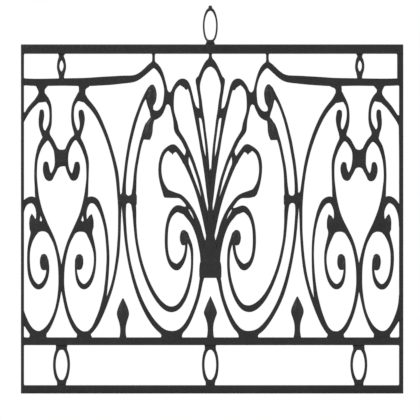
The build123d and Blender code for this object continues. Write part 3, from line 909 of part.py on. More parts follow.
center = join(bar("lobe_center", "left"), bar("lobe_center", "right"),
              plate(SHOULDER["left"]), plate(SHOULDER["right"]), bar("center_hanger"))
FLATS["palmette_center_leaf"] = main_part(cut(center, top_flat, base_flat))
center = FLATS["palmette_center_leaf"]

for side in ("left", "right"):
    upper = FLATS["upper_rail_" + side]
    leaf_up = join(bar("lobe_up_loop", side), bar("lobe_up_spur", side),
                   bar("tie_scroll", side, most=31.0), bar("tie_up", side, most=21.0))
    leaf_up = main_part(cut(leaf_up, base_flat, center, upper))
    FLATS["palmette_upper_leaf_" + side] = leaf_up

    leaf_low = join(bar("lobe_low_under", side, start=2), bar("lobe_low_loop", side, start=1),
                    plate(FOLD[side]), bar("lobe_low_spur", side), bar("tie_low", side))
    leaf_low = main_part(cut(leaf_low, base_flat, center, leaf_up))
    FLATS["palmette_lower_leaf_" + side] = leaf_low

    volute = join(bar("volute", side), plate(WELD[side]))
    volute = main_part(cut(volute, base_flat, leaf_low, leaf_up))
    FLATS["volute_" + side] = volute

    outer = join(bar("outer_u", side), bar("outer_leaf", side), bar("foot_C", side))
    outer = main_part(cut(outer, lower_flat, base_flat, upper, volute))
    FLATS["outer_scroll_" + side] = outer

    inner = join(bar("inner_u", side), bar("inner_leaf", side), bar("inner_ball", side))
    inner = main_part(cut(inner, upper, outer, volute))
    FLATS["inner_scroll_" + side] = inner

# ---- lyres ----------------------------------------------------------------------------------
for name in ("left", "right"):
    upper = FLATS["upper_rail_" + name]
    outer = FLATS["outer_scroll_" + name]
    done = []
    for s in ("R", "L"):
        hand = {"R": "inner", "L": "outer"}[s]
        stem = join(bar("bar_" + s, name), bar("foot_" + s, name),
                    bar("collar_" + s, name, most=20.0))
        if s == "L":
            stem = join(stem, bar("arcb_L", name), bar("bowb_L", name))
        hooked = join(bar("inner_" + s, name), bar("hook_" + s, name),
                      knuckle("inner_" + s, "hook_" + s, name))
        stem = main_part(cut(stem, lower_flat, upper, hooked, *posts, *done))
        FLATS["lyre_%s_%s_stem" % (name, hand)] = stem
        done.append(stem)

        bow = join(bar("neck_" + s, name), bar("arc_" + s, name), hooked)
        bow = main_part(cut(bow, upper, outer, *posts, *done))
        FLATS["lyre_%s_%s_bow" % (name, hand)] = bow
        done.append(bow)

        arch = join(bar("bow_" + s, name), bar("volute_" + s, name), bar("ball_" + s, name),
                    bar("bridge_" + s, name))
        arch = main_part(cut(arch, *posts, *done))
        FLATS["lyre_%s_%s_arch" % (name, hand)] = arch
        done.append(arch)

DEPTHS = {"palmette_base": BASE_DEPTH, "top_finial_ring": RING_DEPTH,
          "lower_ring_center": RING_DEPTH, "lower_ring_left": RING_DEPTH,
          "lower_ring_right": RING_DEPTH, "upper_ring_left": RING_DEPTH,
          "upper_ring_right": RING_DEPTH, "spear_left": SPEAR_DEPTH,
          "spear_center": SPEAR_DEPTH, "spear_right": SPEAR_DEPTH}
for name, flat in FLATS.items():
    NODES[name] = solid(flat, DEPTHS.get(name, BAR_DEPTH))[0]

# ---- collars, wrapped round the bars that they hold together --------------------------------
for side in ("left", "right"):
    wrap = join(bar("collar_U", side), bar("collar_X", side))
    collar = solid(main_part(wrap), COLLAR_DEPTH)[0]
    for held in ("outer_scroll_", "inner_scroll_"):
        collar = collar - NODES[held + side]
    collar = collar - NODES["lyre_%s_inner_bow" % side]
    NODES["scroll_collar_" + side] = collar

    clasp = solid(bar("heart", side), COLLAR_DEPTH)[0]
    for hand in ("inner", "outer"):
        clasp = clasp - NODES["lyre_%s_%s_bow" % (side, hand)]
    NODES["lyre_%s_clasp" % side] = clasp

os.makedirs("parts", exist_ok=True)
for name, body in NODES.items():
    export_step(body, "parts/" + name + ".step")
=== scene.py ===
import bpy
import bmesh
import json
import math
import numpy as np
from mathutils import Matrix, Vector, noise
from mathutils.geometry import delaunay_2d_cdt

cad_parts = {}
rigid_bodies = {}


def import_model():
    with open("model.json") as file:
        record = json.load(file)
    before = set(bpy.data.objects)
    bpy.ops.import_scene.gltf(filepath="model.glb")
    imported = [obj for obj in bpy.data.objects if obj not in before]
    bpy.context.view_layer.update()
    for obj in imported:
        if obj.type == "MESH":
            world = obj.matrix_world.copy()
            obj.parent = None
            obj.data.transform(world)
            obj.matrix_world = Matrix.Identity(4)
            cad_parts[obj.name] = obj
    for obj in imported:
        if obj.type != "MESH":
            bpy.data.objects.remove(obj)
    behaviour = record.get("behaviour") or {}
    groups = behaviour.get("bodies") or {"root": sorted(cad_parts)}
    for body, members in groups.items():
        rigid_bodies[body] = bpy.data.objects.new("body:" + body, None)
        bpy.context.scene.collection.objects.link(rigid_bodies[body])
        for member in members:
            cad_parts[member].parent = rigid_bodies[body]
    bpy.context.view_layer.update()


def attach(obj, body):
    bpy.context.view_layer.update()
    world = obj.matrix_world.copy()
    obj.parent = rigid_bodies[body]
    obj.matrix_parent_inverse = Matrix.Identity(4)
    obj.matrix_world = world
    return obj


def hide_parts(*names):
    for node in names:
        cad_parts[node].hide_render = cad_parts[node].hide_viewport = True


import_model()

MM = 0.001

# The camera looks straight at the panel's face: 2.75 mm of the panel to a pixel of a 420 frame.
PX = 2.75 * MM
cam_data = bpy.data.cameras.new("front_camera")
cam_data.type = "ORTHO"
cam_data.ortho_scale = 420 * PX
cam_data.clip_end = 60.0
camera = bpy.data.objects.new("front_camera", cam_data)
camera.location = ((210.0 - 212.11) * PX, -4.0, (393.56 - 210.0) * PX)
camera.rotation_euler = (math.pi / 2, 0.0, 0.0)
bpy.context.scene.collection.objects.link(camera)
bpy.context.scene.camera = camera

# ---- sizes, millimetres ---------------------------------------------------------------------
FRAME_LEFT, FRAME_RIGHT = -525.4, 525.4
FRAME_TOP, TOP_RAIL_BASE = 959.9, 934.6
BOTTOM_RAIL_TOP = 22.6
LOWER_RAIL_BASE, LOWER_RAIL_TOP = 133.5, 154.1
LEFT_POST_INNER, RIGHT_POST_INNER = -517.7, 514.5
RIGHT_HEAD_INNER, RIGHT_HEAD_BASE = 509.2, 865.0
TOP_RAIL_DEPTH, FRAME_DEPTH, BAR_DEPTH, COLLAR_DEPTH = 30.0, 22.0, 16.0, 21.0

# ---- centre lines of the bars: (x, z, bar width) control points of cubic B-splines ------------
CENTER = {
    "center_hanger": [
        (-4.7, 938.9, 6.6), (-4.7, 930.2, 6.6), (-4.7, 923.3, 8.1), (-4.7, 916.7, 14.6),
        (-4.7, 908.8, 22.4),
    ],
    "stem": [
        (-4.8, 619.9, 1.6), (-4.8, 606, 4.7), (-4.8, 586.9, 7.4), (-4.8, 559.3, 9.1),
        (-4.8, 531.2, 10.6), (-4.8, 502.8, 13), (-4.8, 468.2, 16.6), (-4.8, 433.8, 22.3),
        (-4.8, 407.2, 31.2), (-4.8, 381.9, 41.8), (-4.8, 361.9, 51.7), (-4.8, 352.6, 59),
        (-4.8, 341.6, 61.4), (-4.8, 318.3, 59.8),
    ],
    "spear_C": [
        (-4.7, 264.9, 2.1), (-4.7, 252.2, 15.1), (-4.7, 236.7, 27.9), (-4.7, 223.6, 36.5),
        (-4.7, 213.2, 31.8), (-4.7, 201.1, 21.4), (-4.7, 185.3, 14.3), (-4.7, 168.5, 14.4),
        (-4.7, 154.2, 18.7),
    ],
    "ringC_neck_top": [
        (-5, 136, 30.2), (-5.2, 127.9, 30), (-4.7, 120.5, 29.8),
    ],
    "ringC_neck_bot": [
        (-4.4, 37.8, 27.6), (-5.2, 29.1, 24.8), (-5.1, 19.2, 22),
    ],
    "finial_knob": [
        (-5, 1066.8, 11.2), (-5, 1062.6, 8.6), (-5, 1056.4, 6.1),
    ],
    "finial_neck": [
        (-5, 972.5, 14), (-5, 969, 15.5), (-5, 965.5, 20), (-5, 962, 23.5), (-5, 958.4, 26),
    ],
}

CENTER_LOOPS = {
    "ring_low_C": [
        (-5.5, 131, 11.3), (-17.1, 120.3, 8.7), (-23.4, 101.1, 6.7), (-25.1, 77.9, 6.1),
        (-22.7, 54.8, 7.1), (-16.5, 37.1, 9.5), (-5.1, 27.3, 10.6), (6.7, 37.7, 9.4),
        (13, 55.3, 7), (15.1, 78.1, 6.2), (13.4, 100.9, 6.7), (7.6, 119.8, 8.3),
    ],
    "finial": [
        (-4.7, 1058.7, 9.1), (-13.7, 1053.7, 6.4), (-19.9, 1039.2, 4.4), (-23.3, 1022.1, 4),
        (-23.3, 1002, 4.2), (-20.5, 983.2, 4.4), (-14, 969.6, 5.1), (-4.9, 969, 5.2),
        (4.3, 970, 5.1), (10.6, 983.6, 4.4), (13.2, 1002, 4.1), (13.3, 1021.5, 4),
        (10.1, 1038.3, 4.4), (4.3, 1052.9, 6),
    ],
}

LEFT = {
    "upper_rail": [
        (-525, 857.8, 18.1), (-493.6, 855.4, 19.2), (-458.4, 855.7, 19.7),
        (-419.5, 856.8, 19.4), (-379.2, 856.7, 20.7), (-343.3, 856.5, 22.4),
        (-309.6, 859, 23.3), (-275.5, 860.6, 23.2), (-241.4, 864, 21.2), (-218.2, 864.4, 18.7),
        (-202.5, 870.7, 15.9), (-188, 882, 14.5), (-173.9, 894.7, 15.9), (-161.5, 907.6, 16.8),
        (-147.5, 895.1, 13.7), (-137.2, 876.4, 9), (-131.3, 855, 7.3), (-126.6, 835.8, 8.5),
        (-127.2, 813.8, 8.9), (-131.2, 792, 9.6), (-140.2, 774.5, 13.4), (-149.1, 766.2, 20),
        (-162.4, 765.3, 27.6),
    ],
    "outer_leaf": [
        (-166.1, 849.5, 7.5), (-164.9, 842.3, 15.3), (-165.1, 832.7, 22.4),
        (-165.9, 821.4, 27.3), (-167.8, 810.5, 28.4), (-168, 803.6, 24.5), (-169.8, 796.8, 18),
        (-169.5, 787.3, 12.7), (-166, 775.4, 9.5), (-165.9, 759.4, 7.4),
    ],
    "outer_u": [
        (-169.2, 840.8, 11.7), (-176.3, 831.9, 10.6), (-184.1, 816.8, 9), (-192.6, 801.5, 7.6),
        (-199.9, 782.4, 7.5), (-207.7, 760.4, 8.2), (-214.7, 738.2, 8.4), (-220.8, 713.1, 8.3),
        (-226.8, 688.4, 7.9), (-231.2, 663.2, 7.4), (-235.7, 635.2, 7.4), (-238.6, 607.1, 7.2),
        (-241.4, 579.6, 8.2), (-242.8, 553.5, 10.9), (-240.8, 532.8, 11.8),
        (-242.5, 511.8, 10.2), (-241.6, 484.6, 8.5), (-239.6, 456.7, 7.7),
        (-237.6, 428.4, 7.4), (-234, 400, 7.1), (-228.8, 366, 7.2), (-220.7, 332, 7.8),
        (-211.3, 297.5, 8.7), (-199.2, 262.8, 9.9), (-184.3, 230.7, 11.1),
        (-167.7, 202.9, 13.1), (-149.7, 180.9, 14.9), (-131.3, 166.3, 16), (-109.7, 161.5, 16),
        (-87.9, 168.3, 14.6), (-70.9, 186.5, 12.1), (-57.7, 212.4, 10), (-46.7, 240.6, 9.1),
        (-37.6, 269, 8.9), (-31.9, 296.3, 8.6), (-29.2, 314.6, 10.4), (-24.6, 329.1, 13.2),
    ],
    "inner_leaf": [
        (-162.2, 759.7, 11.2), (-168.8, 748.4, 15.9), (-173.5, 737.8, 20.1),
        (-174.4, 724.7, 22.5), (-176.8, 711.2, 22.4), (-179.6, 703.5, 20.2),
        (-179.9, 698.3, 16.8),
    ],
    "inner_u": [
        (-176.8, 743.1, 11.1), (-184.2, 727.6, 10.1), (-189, 709.6, 9), (-195.4, 691.9, 7.9),
        (-200.7, 669.8, 7.1), (-205.7, 642.1, 7.2), (-209.9, 619.4, 7.4), (-212.3, 593.2, 8),
        (-213.2, 567.6, 9.7), (-216.1, 544.6, 13), (-217, 524.6, 13.5), (-213.5, 501.8, 10.6),
        (-213.2, 477, 8.3), (-211.2, 451.2, 7.2), (-208.9, 425.9, 6.8), (-204.5, 400.7, 7.1),
        (-198.9, 372.9, 7.5), (-190.8, 344.5, 8), (-180.6, 315.6, 8.6), (-168.2, 287.6, 9.7),
        (-153.2, 261.6, 10.8), (-135.8, 241.2, 12.7), (-120.3, 231.7, 15), (-108.2, 231, 15.6),
        (-95.3, 235.9, 13.6), (-83.7, 248.5, 11.5), (-72.7, 268.4, 10.1), (-64.7, 292.5, 8.6),
        (-58.2, 320.4, 6.9), (-55, 347.9, 5.5), (-54.8, 375.4, 5.7), (-55.5, 399.8, 7.8),
        (-63, 420.1, 10.2), (-73.2, 437.5, 12.6),
    ],
    "inner_ball": [
        (-76.9, 449.1, 7.3), (-77.4, 445.8, 14.9), (-77.9, 438.2, 19.7), (-78.9, 427.3, 21.1),
        (-78.4, 417.6, 18.4), (-77.4, 407.6, 10.5),
    ],
    "volute": [
        (-26, 345.3, 12.7), (-25.3, 361.7, 12.6), (-26.2, 383.6, 12.4), (-31.1, 405.7, 12.2),
        (-35.7, 428.6, 12.1), (-43.7, 452, 12.3), (-53.9, 474.6, 13.1), (-67.7, 490.6, 15.4),
        (-72.8, 502.4, 19.8), (-81.2, 503.9, 20.5), (-94, 510.5, 19), (-103.3, 504.9, 15.7),
        (-113.7, 492.9, 11.2), (-120.3, 477.2, 8.5), (-125, 455.2, 7.8), (-126.3, 428.8, 8),
        (-126.1, 401.6, 7.7), (-122.5, 376.2, 7.3), (-114.5, 357.8, 10.7),
        (-104.4, 350.3, 16.9), (-97.1, 345.8, 18.6), (-88.2, 353.5, 14.5), (-78.2, 367.2, 9.3),
        (-72.2, 387.3, 6.7), (-70.8, 404.1, 6), (-70.4, 418.5, 6.6),
    ],
    "lobe_low_under": [
        (-126.5, 541.3, 23), (-124.7, 546.4, 20.9), (-117.4, 550.5, 18.2),
        (-104.7, 545.6, 14.4), (-89.7, 544.4, 10.9), (-78.8, 535.6, 10.2),
        (-70.5, 525.5, 11.2), (-63, 514, 11.2), (-55.8, 502.5, 10.6), (-48, 487, 10.4),
        (-37.4, 465.9, 11.5), (-32.2, 440.3, 12), (-25.3, 419, 12.3), (-17.8, 398.9, 12.6),
    ],
    "lobe_low_loop": [
        (-119.6, 544.7, 24.8), (-126.8, 553.8, 18.3), (-133.9, 567.4, 12.6),
        (-140, 584.3, 9.5), (-143.8, 605.3, 8.2), (-143.9, 626.2, 7.8), (-140.1, 647.4, 8.2),
        (-132.1, 666.5, 9.2), (-118.1, 676.3, 10.6), (-106.8, 681.7, 11.4),
        (-99.4, 675.1, 11.8), (-87, 659, 12.6), (-75.6, 640.9, 13.1), (-65.7, 620.3, 11.3),
        (-55.9, 595.5, 8.9), (-46, 570.3, 8.5), (-37.4, 546.5, 9.9), (-31, 524.4, 10.7),
        (-25.4, 502.5, 11), (-20.1, 480.5, 10.9), (-16.1, 458.4, 10.6), (-11.6, 436.4, 10.1),
        (-8.5, 414.3, 9.6),
    ],
    "lobe_low_spur": [
        (-108.9, 674.5, 27), (-108.9, 670.5, 17), (-108.9, 665.6, 7), (-108.9, 660.2, 3.8),
        (-108.9, 656, 0.6),
    ],
    "tie_low": [
        (-73.2, 633.7, 15.5), (-70.5, 649, 11.8), (-67, 667.4, 8.4),
    ],
    "lobe_up_loop": [
        (-9.4, 471.6, 9), (-15.5, 498, 8.3), (-21.3, 519.3, 8), (-25.6, 541.5, 8.1),
        (-30.5, 564.3, 7.6), (-36.5, 590, 7.1), (-45.2, 615.3, 7.5), (-52.8, 639.3, 8.1),
        (-61.9, 659.2, 9.6), (-70.4, 676.9, 10.6), (-78, 694.5, 10.4), (-89, 710.1, 11.4),
        (-99, 723.5, 13.1), (-99.5, 739.7, 12), (-103.2, 756.5, 8.2), (-108.6, 775.4, 7.2),
        (-111.1, 795.3, 9.6), (-110.6, 816.6, 9.6), (-107, 835.5, 8.5), (-96.3, 850.5, 11.6),
        (-85.6, 859.9, 15.6), (-72.3, 858.3, 13.8), (-63.6, 844.1, 8.7), (-57.5, 824.3, 6.3),
        (-53, 802.1, 7.4), (-47.4, 783.3, 9.9), (-42.9, 763.6, 11.5), (-39.9, 744.3, 10.2),
        (-36.5, 722.3, 8.4), (-31.8, 697.2, 8.1), (-28.1, 672, 8.6), (-22.7, 650.6, 9.8),
        (-19.9, 631.8, 11), (-16.6, 612.6, 11), (-13.6, 587.7, 10.8), (-10.9, 559.9, 10.1),
        (-8.3, 532.4, 9.1), (-5.2, 505.1, 7.7),
    ],
    "lobe_up_spur": [
        (-79.7, 856.1, 22.8), (-72.3, 848.2, 12.5), (-71, 834.9, 2.6),
    ],
    "tie_up": [
        (-43.6, 775.9, 23.1), (-36.7, 770.5, 25.2), (-28.5, 767.3, 27.2),
    ],
    "tie_scroll": [
        (-129.3, 815.4, 32.2), (-118.8, 811.9, 34.9), (-108.9, 808.5, 37.7),
    ],
    "lobe_center": [
        (-6.6, 910.3, 21.7), (-14.8, 904.7, 15.4), (-22.4, 895.2, 10.4), (-28.5, 883, 9.2),
        (-33.8, 868.7, 10.1), (-38.2, 854.3, 9.9), (-38.3, 840.6, 8.5), (-34.8, 821.2, 7.5),
        (-31.8, 801.6, 8), (-30.9, 785, 9.4), (-28.5, 768.8, 9.1), (-24.4, 752.9, 7.3),
        (-21.8, 731.3, 6.2), (-19, 709.1, 6.4), (-16, 686.7, 6.2), (-14, 664.5, 6.5),
        (-13.3, 642.3, 8.6), (-12.4, 619.7, 9.8), (-12, 591.5, 10.6),
    ],
    "center_cusp": [
        (-37.5, 850.7, 14), (-40.1, 859.8, 10.3), (-42.3, 868.4, 6.4),
    ],
    "neck_R": [
        (-347, 852.9, 24.7), (-354.5, 846.5, 21.3), (-357.6, 839.5, 18.4), (-357.4, 830, 16.9),
        (-356.9, 816.1, 16.8), (-360.7, 802.8, 17.4),
    ],
    "arc_R": [
        (-358.4, 825.2, 16), (-350.7, 810.1, 15.1), (-341.3, 799.5, 14.1),
        (-329.3, 786.6, 12.9), (-316.5, 768, 11.4), (-305.7, 746.1, 10), (-294.9, 720.5, 9.1),
        (-284.4, 692.2, 8.5), (-275.8, 663, 8.3), (-267.5, 632.4, 8.6), (-261.3, 601.8, 9.4),
        (-258.5, 570.9, 8.2), (-256.6, 540.3, 7.7), (-253.8, 510.6, 8.2), (-254.7, 478, 7.5),
        (-254.9, 444.7, 6.8), (-256.9, 414, 7.4), (-258.5, 385.8, 7.8), (-262.5, 357.9, 7.4),
        (-266.4, 332.8, 6.9), (-272.5, 305.1, 7.1), (-279.5, 280.6, 7.8), (-288.9, 256.7, 9.2),
        (-299, 230.6, 10.2), (-310.4, 205.1, 10.4), (-322, 182.4, 10.3), (-338.9, 165.1, 10),
    ],
    "bow_R": [
        (-347.1, 469.6, 6.8), (-352.5, 496.3, 10.4), (-349.8, 514, 14.6),
        (-344.1, 529.1, 17.9), (-333.4, 534.4, 18.7), (-319.9, 530.1, 16.7),
        (-313.2, 519.1, 12.7), (-305.6, 502.6, 9.4), (-299.2, 482.2, 8.2),
        (-293.3, 458.6, 7.6), (-289.8, 433.6, 7.3), (-287.6, 405.7, 7.3), (-285.8, 377.9, 7.4),
        (-287.1, 350.2, 7.8), (-288.7, 321.9, 8), (-291.9, 293.9, 8.3), (-294.1, 271.7, 9.7),
        (-299.2, 250, 10.9), (-304.9, 227.2, 11), (-314.5, 204.8, 10.6), (-323.6, 183, 10.1),
        (-334.9, 168.9, 9.6), (-348.7, 163.5, 9.4),
    ],
    "bar_R": [
        (-360.3, 780.6, 10.7), (-360.3, 770.6, 15.5), (-357.7, 757.7, 16.4),
        (-357.3, 746.7, 12.9), (-358.6, 731.4, 9.7), (-364.6, 715.3, 10.6),
        (-370.3, 704.1, 12.9), (-363.7, 694.5, 12.9), (-356, 680.2, 10.7),
        (-349.1, 661.3, 9.9), (-342.7, 640.2, 8.7), (-342.4, 614.7, 6.3), (-342.7, 589.1, 5.6),
        (-344.7, 567, 7.5), (-345.9, 545.5, 10.5), (-350.5, 524, 10.7), (-356.8, 501.7, 9.2),
        (-364.2, 480.7, 9.9), (-372.3, 460.7, 12.2), (-382.3, 440.8, 11.1), (-393, 420.8, 8.3),
        (-400.7, 397.6, 8.2), (-406.5, 372.6, 8.7), (-410.7, 348.3, 9.7), (-412, 322.9, 10.1),
        (-412.2, 297.7, 9.5), (-408.4, 273, 8.2), (-403.3, 247.3, 8), (-397.2, 222.6, 8.8),
        (-387.9, 199.1, 10.2), (-377.4, 179.2, 12.2), (-364.9, 165.8, 14.6),
        (-351.3, 160.9, 16.9),
    ],
    "inner_R": [
        (-361.3, 825.7, 14.9), (-369, 813.8, 11.9), (-377.2, 802.8, 8.9), (-382.7, 789.5, 7),
        (-384.2, 770.7, 6.9), (-383.7, 751, 7.7), (-379.9, 732.6, 9.3), (-373.1, 717.2, 11.3),
        (-373, 705.7, 12.5), (-384.6, 700, 12.2), (-391.6, 686.5, 11.4), (-399.9, 669.5, 11.7),
        (-401.9, 647.6, 10.3), (-399.7, 625.9, 8.4), (-394.5, 607.1, 8.7), (-385, 593, 10.3),
        (-379.5, 589, 11.6),
    ],
    "volute_R": [
        (-332.2, 490.4, 3.6), (-334.4, 485, 12.7), (-335.1, 472, 20.1),
        (-336.9, 456.3, 20.5), (-339.4, 443.9, 17.1), (-333.6, 428.7, 12.1),
        (-326.7, 408, 8.8), (-322, 384.9, 6.3), (-321.6, 362, 5.7), (-324.1, 340.3, 6.9),
        (-329.3, 319.6, 8.6), (-337.5, 302.9, 11.6), (-350, 291.8, 14.8),
        (-359.8, 295.6, 13.3), (-369, 307.9, 8.8), (-373.7, 326.8, 5.9), (-375.6, 347.7, 4.4),
        (-375.2, 369.1, 3.2),
    ],
    "ball_R": [
        (-365.4, 381.9, 10.7), (-364.4, 378.3, 16.7), (-365.9, 371.1, 21.1),
        (-364.4, 360.9, 22), (-365.7, 350.2, 19.4), (-367.3, 341.4, 15),
    ],
    "bridge_R": [
        (-374.1, 459.1, 29.9), (-358.4, 461, 26.9), (-342.4, 456, 24.9), (-334.6, 449.6, 23.5),
    ],
    "foot_R": [
        (-353.9, 170.6, 34.3), (-353.4, 161.5, 37.1), (-351, 151.4, 40),
    ],
    "neck_L": [
        (-468, 850.4, 30.7), (-470.8, 843.6, 23.9), (-469.4, 838.3, 18.5),
        (-468.9, 829.9, 16.3), (-468.7, 815.7, 17), (-466.8, 801.2, 19),
    ],
    "arc_L": [
        (-469.1, 824.9, 15.3), (-477.1, 810.2, 13.9), (-486.8, 799.6, 12.5),
        (-499.3, 787.5, 11.9), (-510.7, 770.6, 11), (-518, 753.5, 6.7), (-524.3, 734.6, 0.8),
        (-529.4, 713.3, 0.8),
    ],
    "arcb_L": [
        (-534.3, 276.3, 0.8), (-526.6, 251.5, 0.8), (-524.2, 224.3, 0.8), (-519.2, 198.8, 4.8),
        (-506.6, 178.6, 10.6), (-490.1, 162.1, 16),
    ],
    "bow_L": [
        (-481, 467.5, 9.3), (-476.2, 495.1, 11.8), (-478.2, 512.8, 15.2),
        (-484.5, 527.2, 18.1), (-494.7, 534.3, 18.8), (-507.3, 530.9, 16.9),
        (-516.9, 521.9, 13.4), (-521.2, 505.4, 9.1), (-523.2, 486.8, 5.7), (-522, 463.7, 3.4),
    ],
    "bowb_L": [
        (-524.5, 270.9, 1.3), (-524.2, 248.2, 3.4), (-520.7, 226.3, 5.6), (-513.2, 205.1, 7.7),
        (-504.4, 184, 9.4), (-492.7, 170, 10.9), (-478.9, 164.2, 12.5),
    ],
    "bar_L": [
        (-468.8, 781.4, 9.5), (-468.3, 769.8, 13.7), (-469.4, 755.9, 14.6),
        (-471.4, 745.1, 11.5), (-470.8, 730, 9.8), (-463.7, 714.7, 11.9), (-456.2, 705, 14.4),
        (-461.7, 697, 14.6), (-472, 683.8, 11.9), (-478.9, 663.6, 9.1), (-484.2, 641.1, 6.9),
        (-485.5, 614.5, 6.9), (-485.6, 588.4, 7.2), (-483.1, 566.1, 8.1),
        (-482.5, 544.9, 10.5), (-477.7, 524.1, 10.7), (-471.3, 502.1, 9.2),
        (-463.3, 481.4, 9.9), (-455.3, 459.9, 12), (-444.3, 439.3, 10.9), (-434.1, 419.2, 7.9),
        (-427.5, 396.5, 7.2), (-422, 372.3, 7.9), (-418.3, 348.8, 9.6), (-417, 323.3, 10.4),
        (-417.3, 298.1, 9.9), (-420.2, 273.4, 8), (-424.5, 248.4, 7.2), (-430.3, 224.8, 7.2),
        (-439.3, 202.2, 8.3), (-449.4, 182.4, 11.5), (-461.6, 168.1, 15.8),
        (-475.3, 160.9, 19.9),
    ],
    "inner_L": [
        (-467.6, 822.5, 16.2), (-457.1, 813.3, 13.1), (-449.3, 802.1, 9.9),
        (-444.7, 787.4, 7.3), (-443.9, 768.7, 6), (-444, 750.1, 6.7), (-446.5, 734.1, 9.1),
        (-454, 720.6, 11.9), (-452.2, 707.8, 13.3), (-442.6, 697.1, 12.5),
        (-435.9, 682.9, 11.2), (-427.6, 667.5, 11.8), (-426.6, 646.8, 11.9),
        (-426.7, 626.4, 11), (-433.2, 610.6, 9.9), (-442.6, 594.6, 9.8), (-447.3, 587, 10.2),
    ],
    "volute_L": [
        (-495.8, 491, 3.6), (-494.9, 484.8, 12.6), (-493.6, 470.8, 19.7),
        (-491.7, 454.6, 20.3), (-489, 442.8, 17), (-495.7, 428.9, 11.9), (-502.4, 409.3, 8.2),
        (-505, 385.8, 6.8), (-505.1, 361.9, 7.1), (-503.9, 339.4, 8.1), (-499.7, 318.2, 9.7),
        (-490.7, 301.2, 12.1), (-478.7, 290.7, 14.6), (-467.3, 297.1, 12.9),
        (-457.6, 311.5, 9.4), (-452, 329.9, 7.8), (-451, 349.5, 7.7), (-454.7, 369.7, 7.8),
    ],
    "ball_L": [
        (-462.6, 383, 8.3), (-462.4, 378.7, 16.2), (-462.6, 370.1, 21.5), (-463, 359.3, 22.3),
        (-462.2, 348.4, 18.8), (-461.9, 340.1, 13),
    ],
    "bridge_L": [
        (-453.4, 458.9, 28.3), (-470.5, 462.1, 25.6), (-485.3, 456.1, 23.4),
        (-490.9, 445.7, 21.8),
    ],
    "foot_L": [
        (-478.2, 172, 47), (-478.6, 163.4, 45.8), (-479.1, 153.3, 44.7),
    ],
    "heart": [
        (-417.5, 670.2, 26.8), (-417, 658.3, 23.8), (-417, 641.6, 20.8), (-414, 624.7, 17.6),
    ],
    "foot_C": [
        (-110.6, 169.9, 58.6), (-111.3, 163.1, 56.4), (-111.7, 153.3, 54.1),
    ],
    "collar_U": [
        (-229.6, 545.4, 40.8), (-229.2, 533.7, 41.6), (-230.5, 522.8, 42.6),
    ],
    "collar_X": [
        (-251.5, 549.3, 12.4), (-248.5, 531.1, 11), (-246.4, 509.2, 9.6),
    ],
    "crest_hanger": [
        (-161, 936.3, 7.5), (-161, 923.6, 5.9), (-161, 915.6, 6.3), (-161.2, 910.7, 9.2),
    ],
    "collar_R": [
        (-370.4, 725.1, 13.6), (-370.9, 711.1, 20), (-370.9, 695.4, 26.3),
    ],
    "collar_L": [
        (-457.2, 726.1, 11.8), (-457.6, 710.7, 18.4), (-458.8, 693.6, 25.1),
    ],
    "spear": [
        (-245.4, 262.5, 1.7), (-245.3, 249.8, 15.3), (-245.4, 234.5, 27.9),
        (-245.7, 220.8, 35.5), (-245.5, 209.9, 31.2), (-245.2, 197.8, 21.6),
        (-245.2, 182.1, 14.8), (-245.3, 165.4, 14.2), (-246, 153.9, 17.6),
    ],
    "ring_neck_top": [
        (-413, 135.5, 29.8), (-414.9, 127.8, 30.1), (-414.3, 120.4, 30.5),
    ],
    "ring_neck_bot": [
        (-413.6, 37.4, 27.3), (-414.3, 28.7, 23.9), (-414.4, 18.9, 20.5),
    ],
    "up_neck_top": [
        (-413.6, 937.5, 17.1), (-415, 929.7, 13.8), (-415.9, 921.8, 10.6),
    ],
    "up_neck_bot": [
        (-414.3, 883.4, 18.6), (-414.3, 873.7, 14.1), (-414, 862.5, 9.8),
    ],
    "hook_L": [
        (-444.3, 588.6, 16.1), (-449.4, 593.5, 18.8), (-453.9, 603.5, 19.4),
        (-457.2, 617.6, 18.1), (-456.5, 630, 14.6), (-457.7, 638, 9.7),
    ],
    "hook_R": [
        (-382.9, 589, 15.1), (-378.7, 593.6, 18.3), (-375.5, 604.1, 19.1),
        (-371.3, 618.3, 18.1), (-371.5, 630.4, 14.7), (-371.9, 637.6, 9.8),
    ],
}

LEFT_LOOPS = {
    "ring_low": [
        (-413.4, 132.8, 10.5), (-425.9, 121.3, 8.5), (-432.3, 101.4, 7), (-434.6, 78, 6.6),
        (-431.9, 54.7, 7.3), (-425.4, 36.8, 9), (-413.7, 26.5, 9.7), (-402.7, 37, 8.7),
        (-396.5, 55.2, 7.1), (-393.5, 78.1, 6.5), (-395.8, 101, 7.1), (-402.2, 120.6, 8.7),
    ],
    "ring_up": [
        (-413.4, 928, 12.2), (-420.2, 917.9, 8.7), (-423.2, 906.6, 6.3), (-423.5, 895.5, 6.4),
        (-420.7, 885.3, 8.3), (-414.3, 876, 9.4), (-407.9, 885.9, 8.7), (-405, 895.3, 6.7),
        (-405, 904.4, 6.1), (-406.8, 913.5, 6.9),
    ],
}

